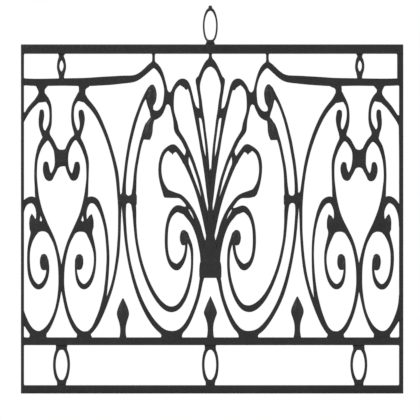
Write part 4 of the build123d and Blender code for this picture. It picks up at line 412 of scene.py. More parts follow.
RIGHT = {
    "upper_rail": [
        (525.4, 857.8, 18.6), (492.4, 855.8, 19.5), (451.2, 855.8, 20.1), (409.2, 856.7, 19.7),
        (367.9, 856.8, 20.8), (332.2, 856.2, 22.8), (299, 858.9, 23.3), (265.2, 860.7, 23),
        (231.1, 863.8, 21.2), (207.8, 864.6, 19.1), (191.9, 870.9, 16.9), (178.1, 882.8, 15.2),
        (164.5, 895.6, 16.2), (152.2, 907.6, 16.6), (138, 894, 12.8), (127.5, 874.8, 7.6),
        (121.6, 853.4, 6), (117.6, 834.5, 7.8), (117.5, 812.7, 9.2), (120.6, 791.1, 10.2),
        (131, 773.8, 13.7), (139.3, 764.3, 19.8), (151.8, 763, 25.9),
    ],
    "outer_leaf": [
        (157.4, 850, 7.6), (155.6, 843.4, 15.6), (155.1, 834.1, 22.7), (156.3, 822.7, 27.2),
        (158.4, 811.2, 27.7), (157.4, 802.7, 23.5), (159.5, 794.3, 16.9), (160.2, 784.7, 11.4),
        (156.6, 773.8, 8.4), (155.2, 759.1, 6.9),
    ],
    "outer_u": [
        (158.6, 840.7, 14.1), (165.2, 831.2, 12.1), (173.4, 816.3, 9.8), (182.6, 801.9, 7.5),
        (190, 783.6, 6.7), (197.8, 761.9, 7.2), (204.4, 739.6, 7.3), (210.4, 714.4, 7.7),
        (216.3, 689.5, 8.2), (220.4, 664.1, 8.1), (225.7, 636.1, 7.9), (228.7, 607.9, 7.8),
        (231.3, 580.3, 8.3), (232, 554.3, 9.4), (230.5, 533.5, 9.3), (233.8, 512.3, 8.2),
        (232.2, 484.7, 7.7), (229.9, 456.1, 7.8), (227.2, 427.3, 7.6), (222.9, 398.3, 7.6),
        (217, 363.6, 7.9), (209.4, 328.8, 8.4), (200.1, 293.8, 9.8), (187.9, 259.1, 10.5),
        (172, 227.5, 10.4), (155.4, 200.3, 11.8), (138.3, 179, 13.8), (120, 165.9, 15),
        (98.8, 161.6, 15.5), (77.4, 168.7, 15), (60.7, 187.2, 13.1), (47.3, 213.4, 10.6),
        (36.1, 241.5, 9.2), (27.2, 269.8, 8.6), (22.1, 296.9, 8.8), (19.4, 314.6, 10.6),
        (14.3, 328.4, 13.2),
    ],
    "inner_leaf": [
        (153.4, 760.2, 9.9), (159.1, 748.7, 15.1), (163, 737.9, 19.7), (163.7, 724.7, 22.3),
        (166.5, 711, 22.4), (169.7, 703, 20.3), (169.7, 697.3, 17.2),
    ],
    "inner_u": [
        (166.3, 742.8, 11.2), (174, 727.6, 10.2), (179, 709.7, 9.1), (185.2, 692.1, 7.8),
        (190.3, 670.1, 7), (195.5, 642.5, 7.3), (199.9, 619.7, 7.6), (202, 593.4, 8),
        (203, 567.8, 9.7), (206, 544.7, 12.9), (206.9, 524.6, 13.3), (203.4, 501.7, 10.6),
        (203, 476.7, 8.4), (201.1, 450.8, 7.3), (198.9, 425.2, 7.1), (194.3, 399.8, 7.2),
        (188.7, 371.8, 7.5), (180.6, 343.3, 8), (170.4, 314.5, 8.5), (158.1, 286.8, 10),
        (143.1, 261.5, 12.4), (125.3, 242.5, 15.8), (109.6, 233.6, 18.5), (97.7, 232.6, 18.1),
        (85, 236.9, 14.4), (73.4, 248.7, 11.2), (62.3, 268.5, 9.9), (54.1, 292.5, 8.8),
        (47.5, 320.3, 7.5), (44.6, 347.7, 6.6), (44.9, 375, 6.6), (46.4, 399.4, 7.9),
        (53.5, 420, 10.1), (62.4, 438.1, 12.7),
    ],
    "inner_ball": [
        (66.9, 449.2, 6.6), (67.2, 446, 15), (67.7, 438.4, 20.3), (68.7, 427.4, 21.8),
        (68.4, 417.6, 18.7), (67.6, 407.5, 9.8),
    ],
    "volute": [
        (16.1, 345.3, 12.7), (15.3, 361.7, 12.7), (16.2, 383.6, 12.6), (20.9, 405.6, 12.4),
        (25.4, 428.5, 12.3), (33.3, 451.8, 12.5), (43.4, 474.2, 13.2), (57, 489.9, 15.2),
        (62.4, 501.3, 19), (71.6, 502.7, 19.4), (84.8, 510, 18.5), (93.7, 504.8, 15.7),
        (103.5, 492.9, 11.2), (110, 477.2, 8.4), (115, 455.3, 7.9), (116.5, 428.8, 8.3),
        (116, 401.5, 8.2), (112.2, 375.9, 7.6), (104.3, 357.4, 10.7), (94.1, 350, 16.8),
        (87.1, 345.6, 18.3), (78.6, 353.5, 13.9), (68.4, 367.3, 8.9), (61.8, 387.3, 7.1),
        (60.1, 404, 7.2), (59.6, 418.4, 8.3),
    ],
    "lobe_low_under": [
        (115.5, 543.5, 19.9), (113.8, 547.1, 19.5), (107.1, 550.9, 18.4), (94.5, 546.5, 15.6),
        (79.2, 544.2, 11.7), (67.2, 534.9, 9.8), (59, 523.5, 10.8), (51.2, 511.5, 11),
        (43.8, 499.5, 10.7), (36, 484.5, 10.8), (27, 464, 11.5), (21.9, 439.4, 11.7),
        (15, 419, 11.8), (7.7, 399.5, 12),
    ],
    "lobe_low_loop": [
        (109.6, 548.8, 21.3), (117, 555.1, 16.7), (123.7, 567.2, 11.9), (129.3, 583.4, 8.5),
        (133.1, 604.4, 7.5), (133.7, 626, 8.3), (130.7, 647.9, 9.1), (122.3, 666.7, 9.9),
        (106.8, 676.2, 10.9), (95.2, 682.4, 11.5), (88.9, 675.1, 11.5), (76.5, 658, 11.7),
        (64.8, 639.1, 12.2), (54.8, 617.6, 10.9), (45.1, 592.2, 9.6), (35.3, 567.1, 9.9),
        (27.1, 543.9, 10.7), (20.5, 522.8, 10.9), (15.1, 501.8, 11), (10.1, 480.3, 10.9),
        (6.1, 458.4, 10.6), (1.6, 436.4, 10.2), (-1.4, 414.4, 9.8),
    ],
    "lobe_low_spur": [
        (98.4, 674.5, 28), (98.4, 670.5, 17), (98.4, 665.2, 6.6), (98.4, 660, 4.4),
        (98.6, 655.6, 0.6),
    ],
    "tie_low": [
        (63.3, 633.9, 15.3), (60.2, 648.9, 11.7), (56.3, 666.9, 8.4),
    ],
    "lobe_up_loop": [
        (-0.5, 471.7, 9), (5.5, 498, 8.3), (11.4, 519.3, 8), (15.7, 541.5, 8.1),
        (20.6, 564.2, 7.6), (26.3, 589.9, 7.1), (34.8, 615.2, 7.5), (42.7, 638.9, 8),
        (52.1, 658.8, 9.4), (60.7, 676.5, 10.2), (68.3, 694.1, 9.9), (79.1, 709.8, 11.4),
        (88.9, 723.2, 13.4), (89.2, 739.4, 12.1), (92.9, 756.2, 8.3), (98.5, 775.2, 7.4),
        (101, 795.2, 9.7), (100.3, 816.6, 9.9), (96.6, 835.5, 8.9), (85.9, 850.4, 11.9),
        (75.5, 859.8, 16.1), (62.6, 858, 14.7), (54.5, 843.6, 10.1), (48.4, 823.8, 7.8),
        (43.6, 801.6, 8.6), (37.6, 783, 10.4), (32.8, 763.4, 11.5), (29.6, 744.3, 9.9),
        (26.2, 722.3, 7.9), (21.6, 697.2, 7.6), (18, 672.1, 8.3), (12.8, 650.6, 9.7),
        (10, 631.8, 11), (6.6, 612.7, 11.1), (3.6, 587.7, 10.8), (1, 559.9, 10.1),
        (-1.6, 532.4, 9.1), (-4.8, 505.1, 7.7),
    ],
    "lobe_up_spur": [
        (69.4, 855.5, 21.8), (62.2, 847.1, 11.7), (60.4, 833.3, 1.9),
    ],
    "tie_up": [
        (34, 775.4, 23.5), (26.7, 770.3, 25.2), (18.7, 767.2, 27),
    ],
    "tie_scroll": [
        (119.6, 814.8, 34.7), (108.2, 811.4, 35.1), (97.4, 808.2, 35.6),
    ],
    "lobe_center": [
        (-3.3, 910.3, 21.7), (4.9, 904.7, 15.4), (12.4, 895.2, 10.4), (18.5, 883, 9.1),
        (23.8, 868.7, 10), (28.4, 854.3, 9.9), (28.7, 840.5, 8.7), (25.3, 821.1, 8),
        (22.1, 801.5, 8.5), (21, 785, 9.7), (18.5, 768.8, 9.1), (14.4, 752.9, 7.2),
        (11.8, 731.3, 6.2), (9, 709.1, 6.4), (6, 686.7, 6.2), (4, 664.5, 6.5),
        (3.3, 642.3, 8.6), (2.5, 619.7, 9.8), (2, 591.5, 10.6),
    ],
    "center_cusp": [
        (28.1, 851.1, 14), (30.3, 860, 10.2), (32.2, 868.6, 6.1),
    ],
    "neck_R": [
        (333.3, 854.6, 24.7), (343.4, 848.4, 20.6), (348, 841.5, 17.5), (348.2, 831.4, 16.1),
        (347.8, 816, 16.5), (350.7, 800.6, 17.7),
    ],
    "arc_R": [
        (347.9, 824.9, 16.6), (340, 809.4, 15.2), (330.2, 798.3, 13.7), (318, 784.7, 12.2),
        (305.1, 765.2, 11.2), (293.6, 742.7, 10.6), (282.7, 716.9, 10.1), (272.6, 688.4, 9.4),
        (264.3, 659.7, 8.7), (257.3, 629.5, 8.3), (252.5, 599.5, 7.7), (248.5, 569.6, 8.1),
        (245.2, 540, 9.2), (243.4, 510.9, 9), (244.4, 478.6, 7.7), (244.7, 445.7, 6.7),
        (246.9, 415.1, 6.9), (248.8, 387.3, 7.2), (252.1, 359.4, 7.5), (255.6, 334.4, 7.8),
        (261.8, 306.6, 7.6), (268.5, 281.7, 7.7), (277.1, 257.3, 9.3), (287.6, 230.9, 10.6),
        (298.8, 204.8, 11.5), (310.4, 181.2, 12.2), (326.2, 162.3, 12.8),
    ],
    "bow_R": [
        (339.9, 469.2, 13), (344.4, 495.7, 14.7), (340.3, 513.7, 16.7), (333.8, 529.3, 18.2),
        (323.1, 534.8, 18.1), (309.3, 529.4, 15.9), (301.3, 517.3, 12.8), (293.3, 499.8, 10),
        (287.2, 479.4, 7.9), (282.2, 456.3, 6.9), (279, 432, 6.5), (277.1, 405, 5.9),
        (276.7, 377.9, 5.7), (277.6, 350.6, 6.4), (279, 322.6, 7.2), (282.4, 294.7, 8.2),
        (284.3, 272.4, 10.5), (288.6, 250.6, 12.7), (294, 227.6, 13.4), (302.4, 204.7, 13.2),
        (311.4, 182.7, 12.4), (323.7, 168.7, 11.5), (338.5, 163.2, 10.6),
    ],
    "bar_R": [
        (350.1, 780.4, 11.3), (350.3, 770.4, 15.7), (347.9, 757.5, 16.4), (347.3, 746.5, 13),
        (348.5, 731.2, 10.1), (354.7, 714.9, 11.2), (360.7, 703.4, 13.7), (354, 693.8, 13.7),
        (346.1, 679.7, 10.9), (339, 661, 9.4), (332.5, 640.2, 8.4), (332.4, 614.8, 7.1),
        (332.7, 589.2, 7), (334.8, 567, 8.7), (335.6, 545.5, 11.4), (339.6, 523.8, 12),
        (345.2, 501.3, 11.3), (352.3, 480.3, 12.1), (361.2, 460.7, 13.8), (372.4, 441.2, 12.3),
        (383.7, 421.5, 9.3), (391.2, 398.2, 8.7), (396.6, 373, 8.7), (400.7, 348.5, 9.6),
        (401.7, 323, 10.2), (401.8, 297.6, 10), (398.1, 272.7, 9), (393.2, 246.9, 8.9),
        (386.8, 222.3, 9.1), (377.3, 198.9, 10.1), (367.1, 178.9, 12.2), (354.8, 165.7, 14.7),
        (341.4, 160.9, 17.2),
    ],
    "inner_R": [
        (351.1, 825.7, 15.3), (358.7, 813.9, 12.1), (366.6, 802.8, 9), (372.3, 789, 6.9),
        (374.6, 769.9, 6.7), (373.6, 749.8, 8.6), (369.2, 731.1, 11.4), (361.4, 715.7, 14),
        (361.8, 704.1, 15.4), (374.5, 698.5, 14.3), (381.7, 684.9, 11.8), (391.7, 668.6, 11.8),
        (392.9, 647.4, 12.7), (390.4, 625.3, 12.6), (383.6, 607.3, 11.2), (373.7, 592.6, 10.3),
        (370, 586.8, 9.9),
    ],
    "volute_R": [
        (322, 490.2, 3.6), (324.3, 484.9, 13), (325.1, 472, 20.4), (326.8, 456.3, 20.6),
        (329.3, 443.9, 17.1), (323.5, 428.6, 12.2), (316.5, 407.8, 9.1), (311.5, 384.8, 6.5),
        (311.1, 361.9, 5.9), (313.7, 340.3, 7.2), (319, 319.6, 8.8), (327.3, 302.9, 11.8),
        (339.9, 291.8, 15.1), (349.9, 295.6, 13.7), (359.2, 307.9, 9.3), (363.7, 326.8, 6.3),
        (365.3, 347.6, 4.7), (364.6, 369, 3.5),
    ],
    "ball_R": [
        (355.3, 382.1, 10.6), (354.3, 378.4, 16.8), (355.9, 371.1, 21.2), (354.4, 360.8, 22.1),
        (355.6, 350.1, 19.4), (357.1, 341.3, 15),
    ],
    "bridge_R": [
        (362.8, 460.5, 32.6), (347.5, 461.9, 28.9), (332.2, 456.2, 25.7), (325.2, 448.7, 22.9),
    ],
    "foot_R": [
        (341.9, 171.1, 36.2), (341.4, 162, 41.5), (339.1, 151.3, 46.9),
    ],
    "neck_L": [
        (459.3, 850.1, 28.5), (462.1, 844.3, 21.6), (460.8, 839.4, 16.1), (460.4, 830.9, 13.9),
        (459.7, 816.4, 14.7), (456.2, 802, 16.8),
    ],
    "arc_L": [
        (457.8, 824.1, 16.9), (466.1, 810, 15.7), (475.8, 799.8, 14.5), (488, 788.1, 13.4),
        (499, 771, 12.4), (510.5, 754.5, 10.9), (520.1, 735.3, 9.5), (522.1, 711.6, 8.3),
    ],
    "arcb_L": [
        (522.3, 278.7, 6.4), (521.8, 254.9, 8.3), (519.6, 228.5, 9.9), (510.1, 203.4, 11.4),
        (494.6, 180.9, 13), (479.2, 160.2, 14.7),
    ],
    "bow_L": [
        (469.2, 467.2, 13.9), (463.7, 494.2, 15.6), (466.7, 512, 17.8), (474.3, 527, 19.6),
        (484.3, 535.3, 19.6), (495.5, 531.4, 17.1), (506.8, 521.3, 14.2), (514.8, 503.4, 12.6),
        (519.5, 481.8, 11.8), (519.8, 457, 11.5),
    ],
    "bowb_L": [
        (517.8, 272.7, 7.6), (516.8, 249.7, 7.5), (512, 226.7, 7.6), (503.3, 204.3, 8.1),
        (494, 183.1, 8.9), (482.3, 169.4, 10.1), (468.7, 163.9, 11.5),
    ],
    "bar_L": [
        (458.8, 781.1, 10.5), (457.8, 769.6, 13.5), (459.2, 755.9, 14), (461.3, 744.8, 11.6),
        (460.3, 728.9, 10.3), (453, 712.4, 11.8), (444.6, 702.5, 13.8), (450.3, 696.3, 14.3),
        (461.2, 685.4, 12.6), (467.9, 665.4, 10.1), (473.5, 642.3, 8.1), (475.6, 615, 7),
        (476, 588.2, 7), (473.4, 565.5, 8.6), (472.5, 544.2, 11.4), (468.7, 523.1, 13.3),
        (462.9, 500.7, 14.2), (454.9, 479.7, 14.4), (445.6, 458.4, 13.7), (433.5, 438.3, 10.9),
        (423.7, 418.4, 8.1), (416.9, 395.7, 7.9), (411.4, 371.7, 9.2), (407.7, 348.5, 10.9),
        (406.7, 323.3, 11.7), (407, 298.2, 10.9), (410.1, 273.9, 8.9), (414.7, 249.1, 7.3),
        (419.9, 225.3, 6.9), (428.6, 202.6, 8.3), (438.6, 182.8, 11.6), (450.8, 168.4, 15.9),
        (464.7, 161.2, 20.4),
    ],
    "inner_L": [
        (457.1, 823.7, 13.9), (446.8, 814.3, 11.4), (439.7, 802.6, 9.1), (435.1, 787.1, 7.4),
        (433, 768.3, 6.6), (433.7, 749.9, 7.9), (438.4, 733.4, 11.2), (447.1, 718.6, 14.1),
        (445.1, 705.4, 15.3), (432.9, 695.8, 14), (425, 682.4, 11.8), (417.3, 667, 12.4),
        (416.5, 646.4, 12.7), (416.2, 626.2, 11.9), (422.8, 610.7, 10.6), (432.5, 594.8, 10.7),
        (436.9, 587.1, 11.3),
    ],
    "volute_L": [
        (485.8, 490.5, 3.6), (484.6, 484.5, 13), (483.5, 470.6, 19.9), (481.7, 454.4, 20.3),
        (478.7, 442.7, 16.8), (485.1, 429, 11.8), (492.1, 409.5, 8.9), (495.5, 386, 8.7),
        (495.6, 361.9, 8.9), (493.6, 339.1, 8.6), (488.9, 317.7, 9.5), (480.3, 300.7, 12.4),
        (468.5, 290.6, 15.4), (456.7, 297, 13.7), (447.8, 311.2, 9.3), (443.2, 329.7, 6.2),
        (441.9, 349.4, 5.5), (444.1, 369.7, 5.8),
    ],
    "ball_L": [
        (452.5, 383.3, 8.7), (452.3, 378.8, 16.2), (452.7, 370.1, 21.4), (453.1, 359.2, 22.2),
        (452.3, 348.2, 18.8), (451.9, 339.7, 13.4),
    ],
    "bridge_L": [
        (444.9, 460.4, 32.3), (461.4, 462.2, 28.7), (476, 455.4, 25.5), (481.7, 444.7, 22.7),
    ],
    "foot_L": [
        (467.3, 172.1, 46.3), (467.2, 163.8, 44.7), (467, 154.1, 43.1),
    ],
    "heart": [
        (403.5, 670, 24.2), (403.8, 657.9, 23.1), (404.9, 640.5, 22.1), (405.3, 622.1, 21.2),
    ],
    "foot_C": [
        (98.8, 170.3, 55.9), (99.5, 163.2, 52.5), (100.4, 153, 49.2),
    ],
    "collar_U": [
        (219, 545.4, 40), (219.3, 533.7, 41.6), (220.6, 522.8, 43.4),
    ],
    "collar_X": [
        (241.1, 554, 12.4), (238.8, 534.1, 11), (237.2, 511, 9.6),
    ],
    "crest_hanger": [
        (152, 936.2, 7.1), (151.9, 923.6, 5.6), (152, 915.5, 6.1), (152.6, 910.7, 8.9),
    ],
    "collar_R": [
        (360, 725.4, 11.6), (360.3, 711.5, 18.9), (360.2, 696.2, 26.3),
    ],
    "collar_L": [
        (448.3, 727.5, 10.9), (448, 712.3, 18.4), (448.1, 695.8, 26.1),
    ],
    "spear": [
        (234.6, 265.7, 4.4), (234.7, 252.9, 17.8), (234.5, 237.8, 29.7), (234.5, 224.3, 35.5),
        (234.6, 213, 29.5), (234.6, 200.1, 19.6), (234.4, 183.5, 13.9), (234.1, 166.1, 15),
        (234.2, 154, 20),
    ],
    "ring_neck_top": [
        (402.1, 135.5, 30.6), (404, 127.6, 30.7), (403.6, 120, 30.7),
    ],
    "ring_neck_bot": [
        (403.4, 38.1, 28.6), (403.6, 28.8, 24.6), (403.5, 18.7, 20.6),
    ],
    "up_neck_top": [
        (405.5, 937.6, 17.8), (406.1, 930, 13.7), (406.1, 922.3, 9.6),
    ],
    "up_neck_bot": [
        (405.6, 882.7, 18.3), (405.7, 873.5, 13.8), (405.4, 862.8, 9.4),
    ],
    "hook_L": [
        (433.7, 588, 15.6), (439.2, 593, 19), (443.8, 603.2, 19.6), (447.2, 617.2, 18.1),
        (445.6, 629.3, 14.2), (445.1, 636.7, 9),
    ],
    "hook_R": [
        (373.3, 590, 18.2), (368.9, 594.6, 19.7), (365.2, 604.9, 20), (360.8, 618.4, 18.4),
        (362.2, 629.7, 14.4), (364.4, 636.5, 9.2),
    ],
}

RIGHT_LOOPS = {
    "ring_low": [
        (402.9, 132.5, 11.1), (415.4, 121, 8.7), (421.8, 101.3, 6.8), (424, 77.9, 6.2),
        (421.2, 54.7, 7), (414.8, 36.8, 9.1), (403.1, 26.5, 10.1), (392, 36.9, 9.1),
        (385.8, 55.1, 7), (382.7, 78, 6.2), (385.2, 100.8, 6.9), (391.7, 120.4, 8.8),
    ],
    "ring_up": [
        (404.6, 927.6, 12.1), (411.9, 917.8, 8.6), (415.2, 906.6, 6.1), (415.5, 895.4, 6.3),
        (412.5, 885.2, 8.3), (405.7, 876, 9.6), (399.4, 886, 9.1), (396.9, 895.2, 7.4),
        (397, 904.1, 6.9), (398.5, 912.9, 7.6),
    ],
}

STROKES = {"center": CENTER, "left": LEFT, "right": RIGHT}
LOOPS = {"center": CENTER_LOOPS, "left": LEFT_LOOPS, "right": RIGHT_LOOPS}


# ---- curves ---------------------------------------------------------------------------------
def spline(rows, samples):
    """Points along a clamped cubic B-spline through the control rows (x, z, width)."""
    n = len(rows)
    deg = min(3, n - 1)
    spans = n - deg
    knots = [0.0] * deg + [float(i) for i in range(spans + 1)] + [float(spans)] * deg
    out = []
    for j in range(spans * samples + 1):
        t = j / samples
        k = min(int(t), spans - 1) + deg
        pts = [list(rows[i]) for i in range(k - deg, k + 1)]
        for r in range(1, deg + 1):
            for i in range(deg, r - 1, -1):
                lo, hi = knots[i + k - deg], knots[i + 1 + k - r]
                f = (t - lo) / (hi - lo)
                pts[i] = [(1 - f) * p + f * q for p, q in zip(pts[i - 1], pts[i])]
        out.append(tuple(pts[deg]))
    return out


def closed_spline(rows, samples):
    n = len(rows)
    out = []
    for i in range(n):
        a, b, c, d = (rows[(i + s - 1) % n] for s in range(4))
        for k in range(samples):
            t = k / samples
            w = ((1 - t) ** 3 / 6, (3 * t ** 3 - 6 * t ** 2 + 4) / 6,
                 (-3 * t ** 3 + 3 * t ** 2 + 3 * t + 1) / 6, t ** 3 / 6)
            out.append(tuple(w[0] * a[m] + w[1] * b[m] + w[2] * c[m] + w[3] * d[m]
                             for m in range(3)))
    return out


def even(points, step, closed=False):
    """The same line with points about one step apart."""
    pts = list(points) + ([points[0]] if closed else [])
    run = [0.0]
    for a, b in zip(pts, pts[1:]):
        run.append(run[-1] + math.hypot(b[0] - a[0], b[1] - a[1]))
    count = max(3, int(round(run[-1] / step)))
    out, j = [], 0
    for i in range(count + (0 if closed else 1)):
        s = run[-1] * i / count
        while j < len(run) - 2 and run[j + 1] < s:
            j += 1
        f = (s - run[j]) / max(run[j + 1] - run[j], 1e-9)
        out.append(tuple(pts[j][m] * (1 - f) + pts[j + 1][m] * f for m in range(3)))
    return out


# ---- relief: how far the face stands from the middle plane, by kind of section ----------------
# d is the distance in from the bar's own edge, w half its width, h half its depth
def relief(kind, d, w, h):
    t = np.clip(d / np.maximum(w, 0.5), 0.0, 1.0)
    swell = np.sqrt(np.maximum(1.0 - (1.0 - t) ** 2, 0.0))
    if kind == "bar":
        return h + 0.3 * swell
    if kind == "soft":
        return h * (0.74 + 0.26 * swell)
    if kind == "leaf":
        rib = np.clip(1.0 - (1.0 - t) * w / 1.7, 0.0, 1.0)
        return h * (0.40 + 0.52 * np.sin(t * math.pi / 2) ** 0.8 + 0.08 * rib)
    if kind == "ball":
        return np.maximum(h * swell, 1.2)
    if kind == "ring":
        return h * (0.42 + 0.58 * swell)
    if kind == "ridge":
        return np.minimum(h, 1.8 + np.maximum(d, 0) * (h - 1.8) / 13.5)
    if kind == "rail":
        u = np.clip(d / 4.2, 0.0, 1.0)
        return h - 4.2 * (1.0 - np.sqrt(np.maximum(1.0 - (1.0 - u) ** 2, 0.0)))
    raise ValueError(kind)


# worn radius of the arris of each kind
ARRIS = {"bar": 1.7, "soft": 1.6, "leaf": 1.0, "ball": 0.4, "ring": 1.0, "ridge": 0.5, "rail": 0.8}
GRID = 1.0
# coats of paint, which fatten every outline, mm
COAT = 0.46
FAR = 12.0


class Part:
    """One bar, leaf, boss or ring: a centre line, its widths and what its face is like."""

    def __init__(self, points, kind, deep, closed=False, sink=(0.0, 0.0), bands=(), tip=(1.0, 1.0)):
        self.points, self.kind, self.deep = points, kind, deep
        self.closed, self.sink, self.bands, self.tip = closed, sink, bands, tip
        self.cuts, self.welds, self.spine = [], [], ()
        self.measure()

    def measure(self):
        run = [0.0]
        pts = self.points + [self.points[0]] if self.closed else self.points
        for a, b in zip(pts, pts[1:]):
            run.append(run[-1] + math.hypot(b[0] - a[0], b[1] - a[1]))
        self.run = run

    def nearest(self, x, z):
        """The closest point of the centre line, its width and its direction."""
        pts = self.points
        i = min(range(len(pts)), key=lambda k: (pts[k][0] - x) ** 2 + (pts[k][1] - z) ** 2)
        a, b = pts[max(i - 1, 0)], pts[min(i + 1, len(pts) - 1)]
        dx, dz = b[0] - a[0], b[1] - a[1]
        length = math.hypot(dx, dz) or 1e-6
        return pts[i], (dx / length, dz / length)

    def join(self, end, other, radius, reach=9.0, cut=True):
        """Run this end into the middle of another bar, and fillet the weld."""
        pts = self.points
        k = min(4, len(pts) - 1)
        a, b = (pts[0], pts[k]) if end == 0 else (pts[-1], pts[-1 - k])
        dx, dz = a[0] - b[0], a[1] - b[1]
        length = math.hypot(dx, dz) or 1e-6
        dx, dz = dx / length, dz / length
        more = [(a[0] + dx * 1.5 * i, a[1] + dz * 1.5 * i, a[2])
                for i in range(1, int(reach / 1.5) + 1)]
        self.points = more[::-1] + pts if end == 0 else pts + more
        self.measure()
        (mx, mz, mw), (tx, tz) = other.nearest(a[0], a[1])
        if cut:
            nx, nz = -tz, tx
            if (a[0] - dx * 12 - mx) * nx + (a[1] - dz * 12 - mz) * nz > 0:
                nx, nz = -nx, -nz
            self.cuts.append((mx, mz, nx, nz, a[2] / 2 + mw + 10))
        self.welds.append((other, radius, mx, mz, a[2] / 2 + mw / 2 + 2.5 * radius))
        return self

    def beyond(self, end, gx, gz):
        """How far past the square-cut end of an open bar."""
        a, b = (self.points[0], self.points[1]) if end == 0 else (self.points[-1], self.points[-2])
        dx, dz = a[0] - b[0], a[1] - b[1]
        length = math.hypot(dx, dz) or 1e-6
        return ((gx - a[0]) * dx + (gz - a[1]) * dz) / length

    def half_depth(self, s):
        """The face drops where an end is let into a neighbour."""
        h = self.deep / 2
        a, b = self.sink
        f = np.ones_like(s)
        if a > 0:
            f = np.minimum(f, 0.55 + 0.45 * np.clip(s / a, 0, 1))
        if b > 0:
            f = np.minimum(f, 0.55 + 0.45 * np.clip((self.run[-1] - s) / b, 0, 1))
        return h * f


class Plate:
    """A web or boss with straight sides: its corners (x, z), and the line of its ridge if any."""

    def __init__(self, corners, deep, kind="bar", spine=()):
        self.points = [(x, z, 0.0) for x, z in corners]
        self.kind, self.deep, self.bands, self.closed = kind, deep, (), True
        self.welds, self.spine = [], spine


def plate_fields(part, x0, z0, nx, nz):
    gx = (x0 + np.arange(nx) * GRID)[None, :]
    gz = (z0 + np.arange(nz) * GRID)[:, None]
    best = np.full((nz, nx), 1e9)
    inside = np.zeros((nz, nx), bool)
    pts = part.points
    for i in range(len(pts)):
        (ax, az, _), (bx, bz, _) = pts[i], pts[(i + 1) % len(pts)]
        dx, dz = bx - ax, bz - az
        t = np.clip(((gx - ax) * dx + (gz - az) * dz) / (dx * dx + dz * dz), 0.0, 1.0)
        best = np.minimum(best, np.hypot(gx - ax - t * dx, gz - az - t * dz))
        if az != bz:
            crosses = (az > gz) != (bz > gz)
            inside ^= crosses & (gx < ax + (gz - az) * dx / dz)
    sd = np.minimum(np.where(inside, -best, best), FAR)
    return sd - COAT, np.full((nz, nx), 8.0), np.full((nz, nx), part.deep / 2)


def fields(part, x0, z0, nx, nz):
    """Signed distance, local half width and half depth around one part, on the grid."""
    if isinstance(part, Plate):
        return plate_fields(part, x0, z0, nx, nz)
    sd = np.full((nz, nx), FAR)
    ww = np.ones((nz, nx))
    hh = np.full((nz, nx), part.deep / 2)
    pts = part.points
    n = len(pts)
    count = n if part.closed else n - 1
    for i in range(count):
        ax, az, aw = pts[i]
        bx, bz, bw = pts[(i + 1) % n]
        reach = max(aw, bw) / 2 + 6.0
        i0 = max(int((min(ax, bx) - reach - x0) / GRID), 0)
        i1 = min(int((max(ax, bx) + reach - x0) / GRID) + 2, nx)
        j0 = max(int((min(az, bz) - reach - z0) / GRID), 0)
        j1 = min(int((max(az, bz) + reach - z0) / GRID) + 2, nz)
        if i0 >= i1 or j0 >= j1:
            continue
        gx = (x0 + np.arange(i0, i1) * GRID)[None, :]
        gz = (z0 + np.arange(j0, j1) * GRID)[:, None]
        dx, dz = bx - ax, bz - az
        length = math.hypot(dx, dz) or 1e-6
        along = ((gx - ax) * dx + (gz - az) * dz) / length
        t = np.clip(along / length, 0.0, 1.0)
        px, pz = gx - (ax + t * dx), gz - (az + t * dz)
        w = (aw + (bw - aw) * t) / 2
        d = np.sqrt(px * px + pz * pz) - w
        if not part.closed:
            for near, over, r in ((part.run[i] < pts[0][2] + 2, part.beyond(0, gx, gz), part.tip[0]),
                                  (part.run[-1] - part.run[i + 1] < pts[-1][2] + 2,
                                   part.beyond(1, gx, gz), part.tip[1])):
                if near and r is not None:
                    both = (d > -r) & (over > -r)
                    d = np.where(both, np.hypot(np.maximum(d + r, 0), np.maximum(over + r, 0)) - r,
                                 np.maximum(d, over))
        old = sd[j0:j1, i0:i1]
        better = d < old
        old[better] = d[better]
        ww[j0:j1, i0:i1][better] = np.broadcast_to(w, d.shape)[better]
        s = part.run[i] + t * length
        hh[j0:j1, i0:i1][better] = part.half_depth(s)[better]
    gx = (x0 + np.arange(nx) * GRID)[None, :]
    gz = (z0 + np.arange(nz) * GRID)[:, None]
    for cx, cz, ux, uz, reach in part.cuts:
        past = (gx - cx) * ux + (gz - cz) * uz
        local = (gx - cx) ** 2 + (gz - cz) ** 2 < reach ** 2
        sd = np.where(local, np.maximum(sd, past), sd)
    return sd - COAT, ww + COAT, hh


def fillet(a, b, radius, x, z, reach, x0, z0):
    """Signed distance of the weld that rounds the corner between two shapes."""
    nz, nx = a.shape
    gx = (x0 + np.arange(nx) * GRID)[None, :]
    gz = (z0 + np.arange(nz) * GRID)[:, None]
    f = radius - np.hypot(np.maximum(radius - a, 0), np.maximum(radius - b, 0))
    near = (a < radius) & (b < radius) & ((gx - x) ** 2 + (gz - z) ** 2 < reach ** 2)
    return np.where(near, f, FAR)


def blur(a, sigma):
    k = np.arange(-4, 5)
    g = np.exp(-k * k / (2 * sigma * sigma))
    g /= g.sum()
    p = np.pad(a, 4, mode="edge")
    p = sum(g[i] * p[i:i + a.shape[0], :] for i in range(9))
    return sum(g[i] * p[:, i:i + a.shape[1]] for i in range(9))


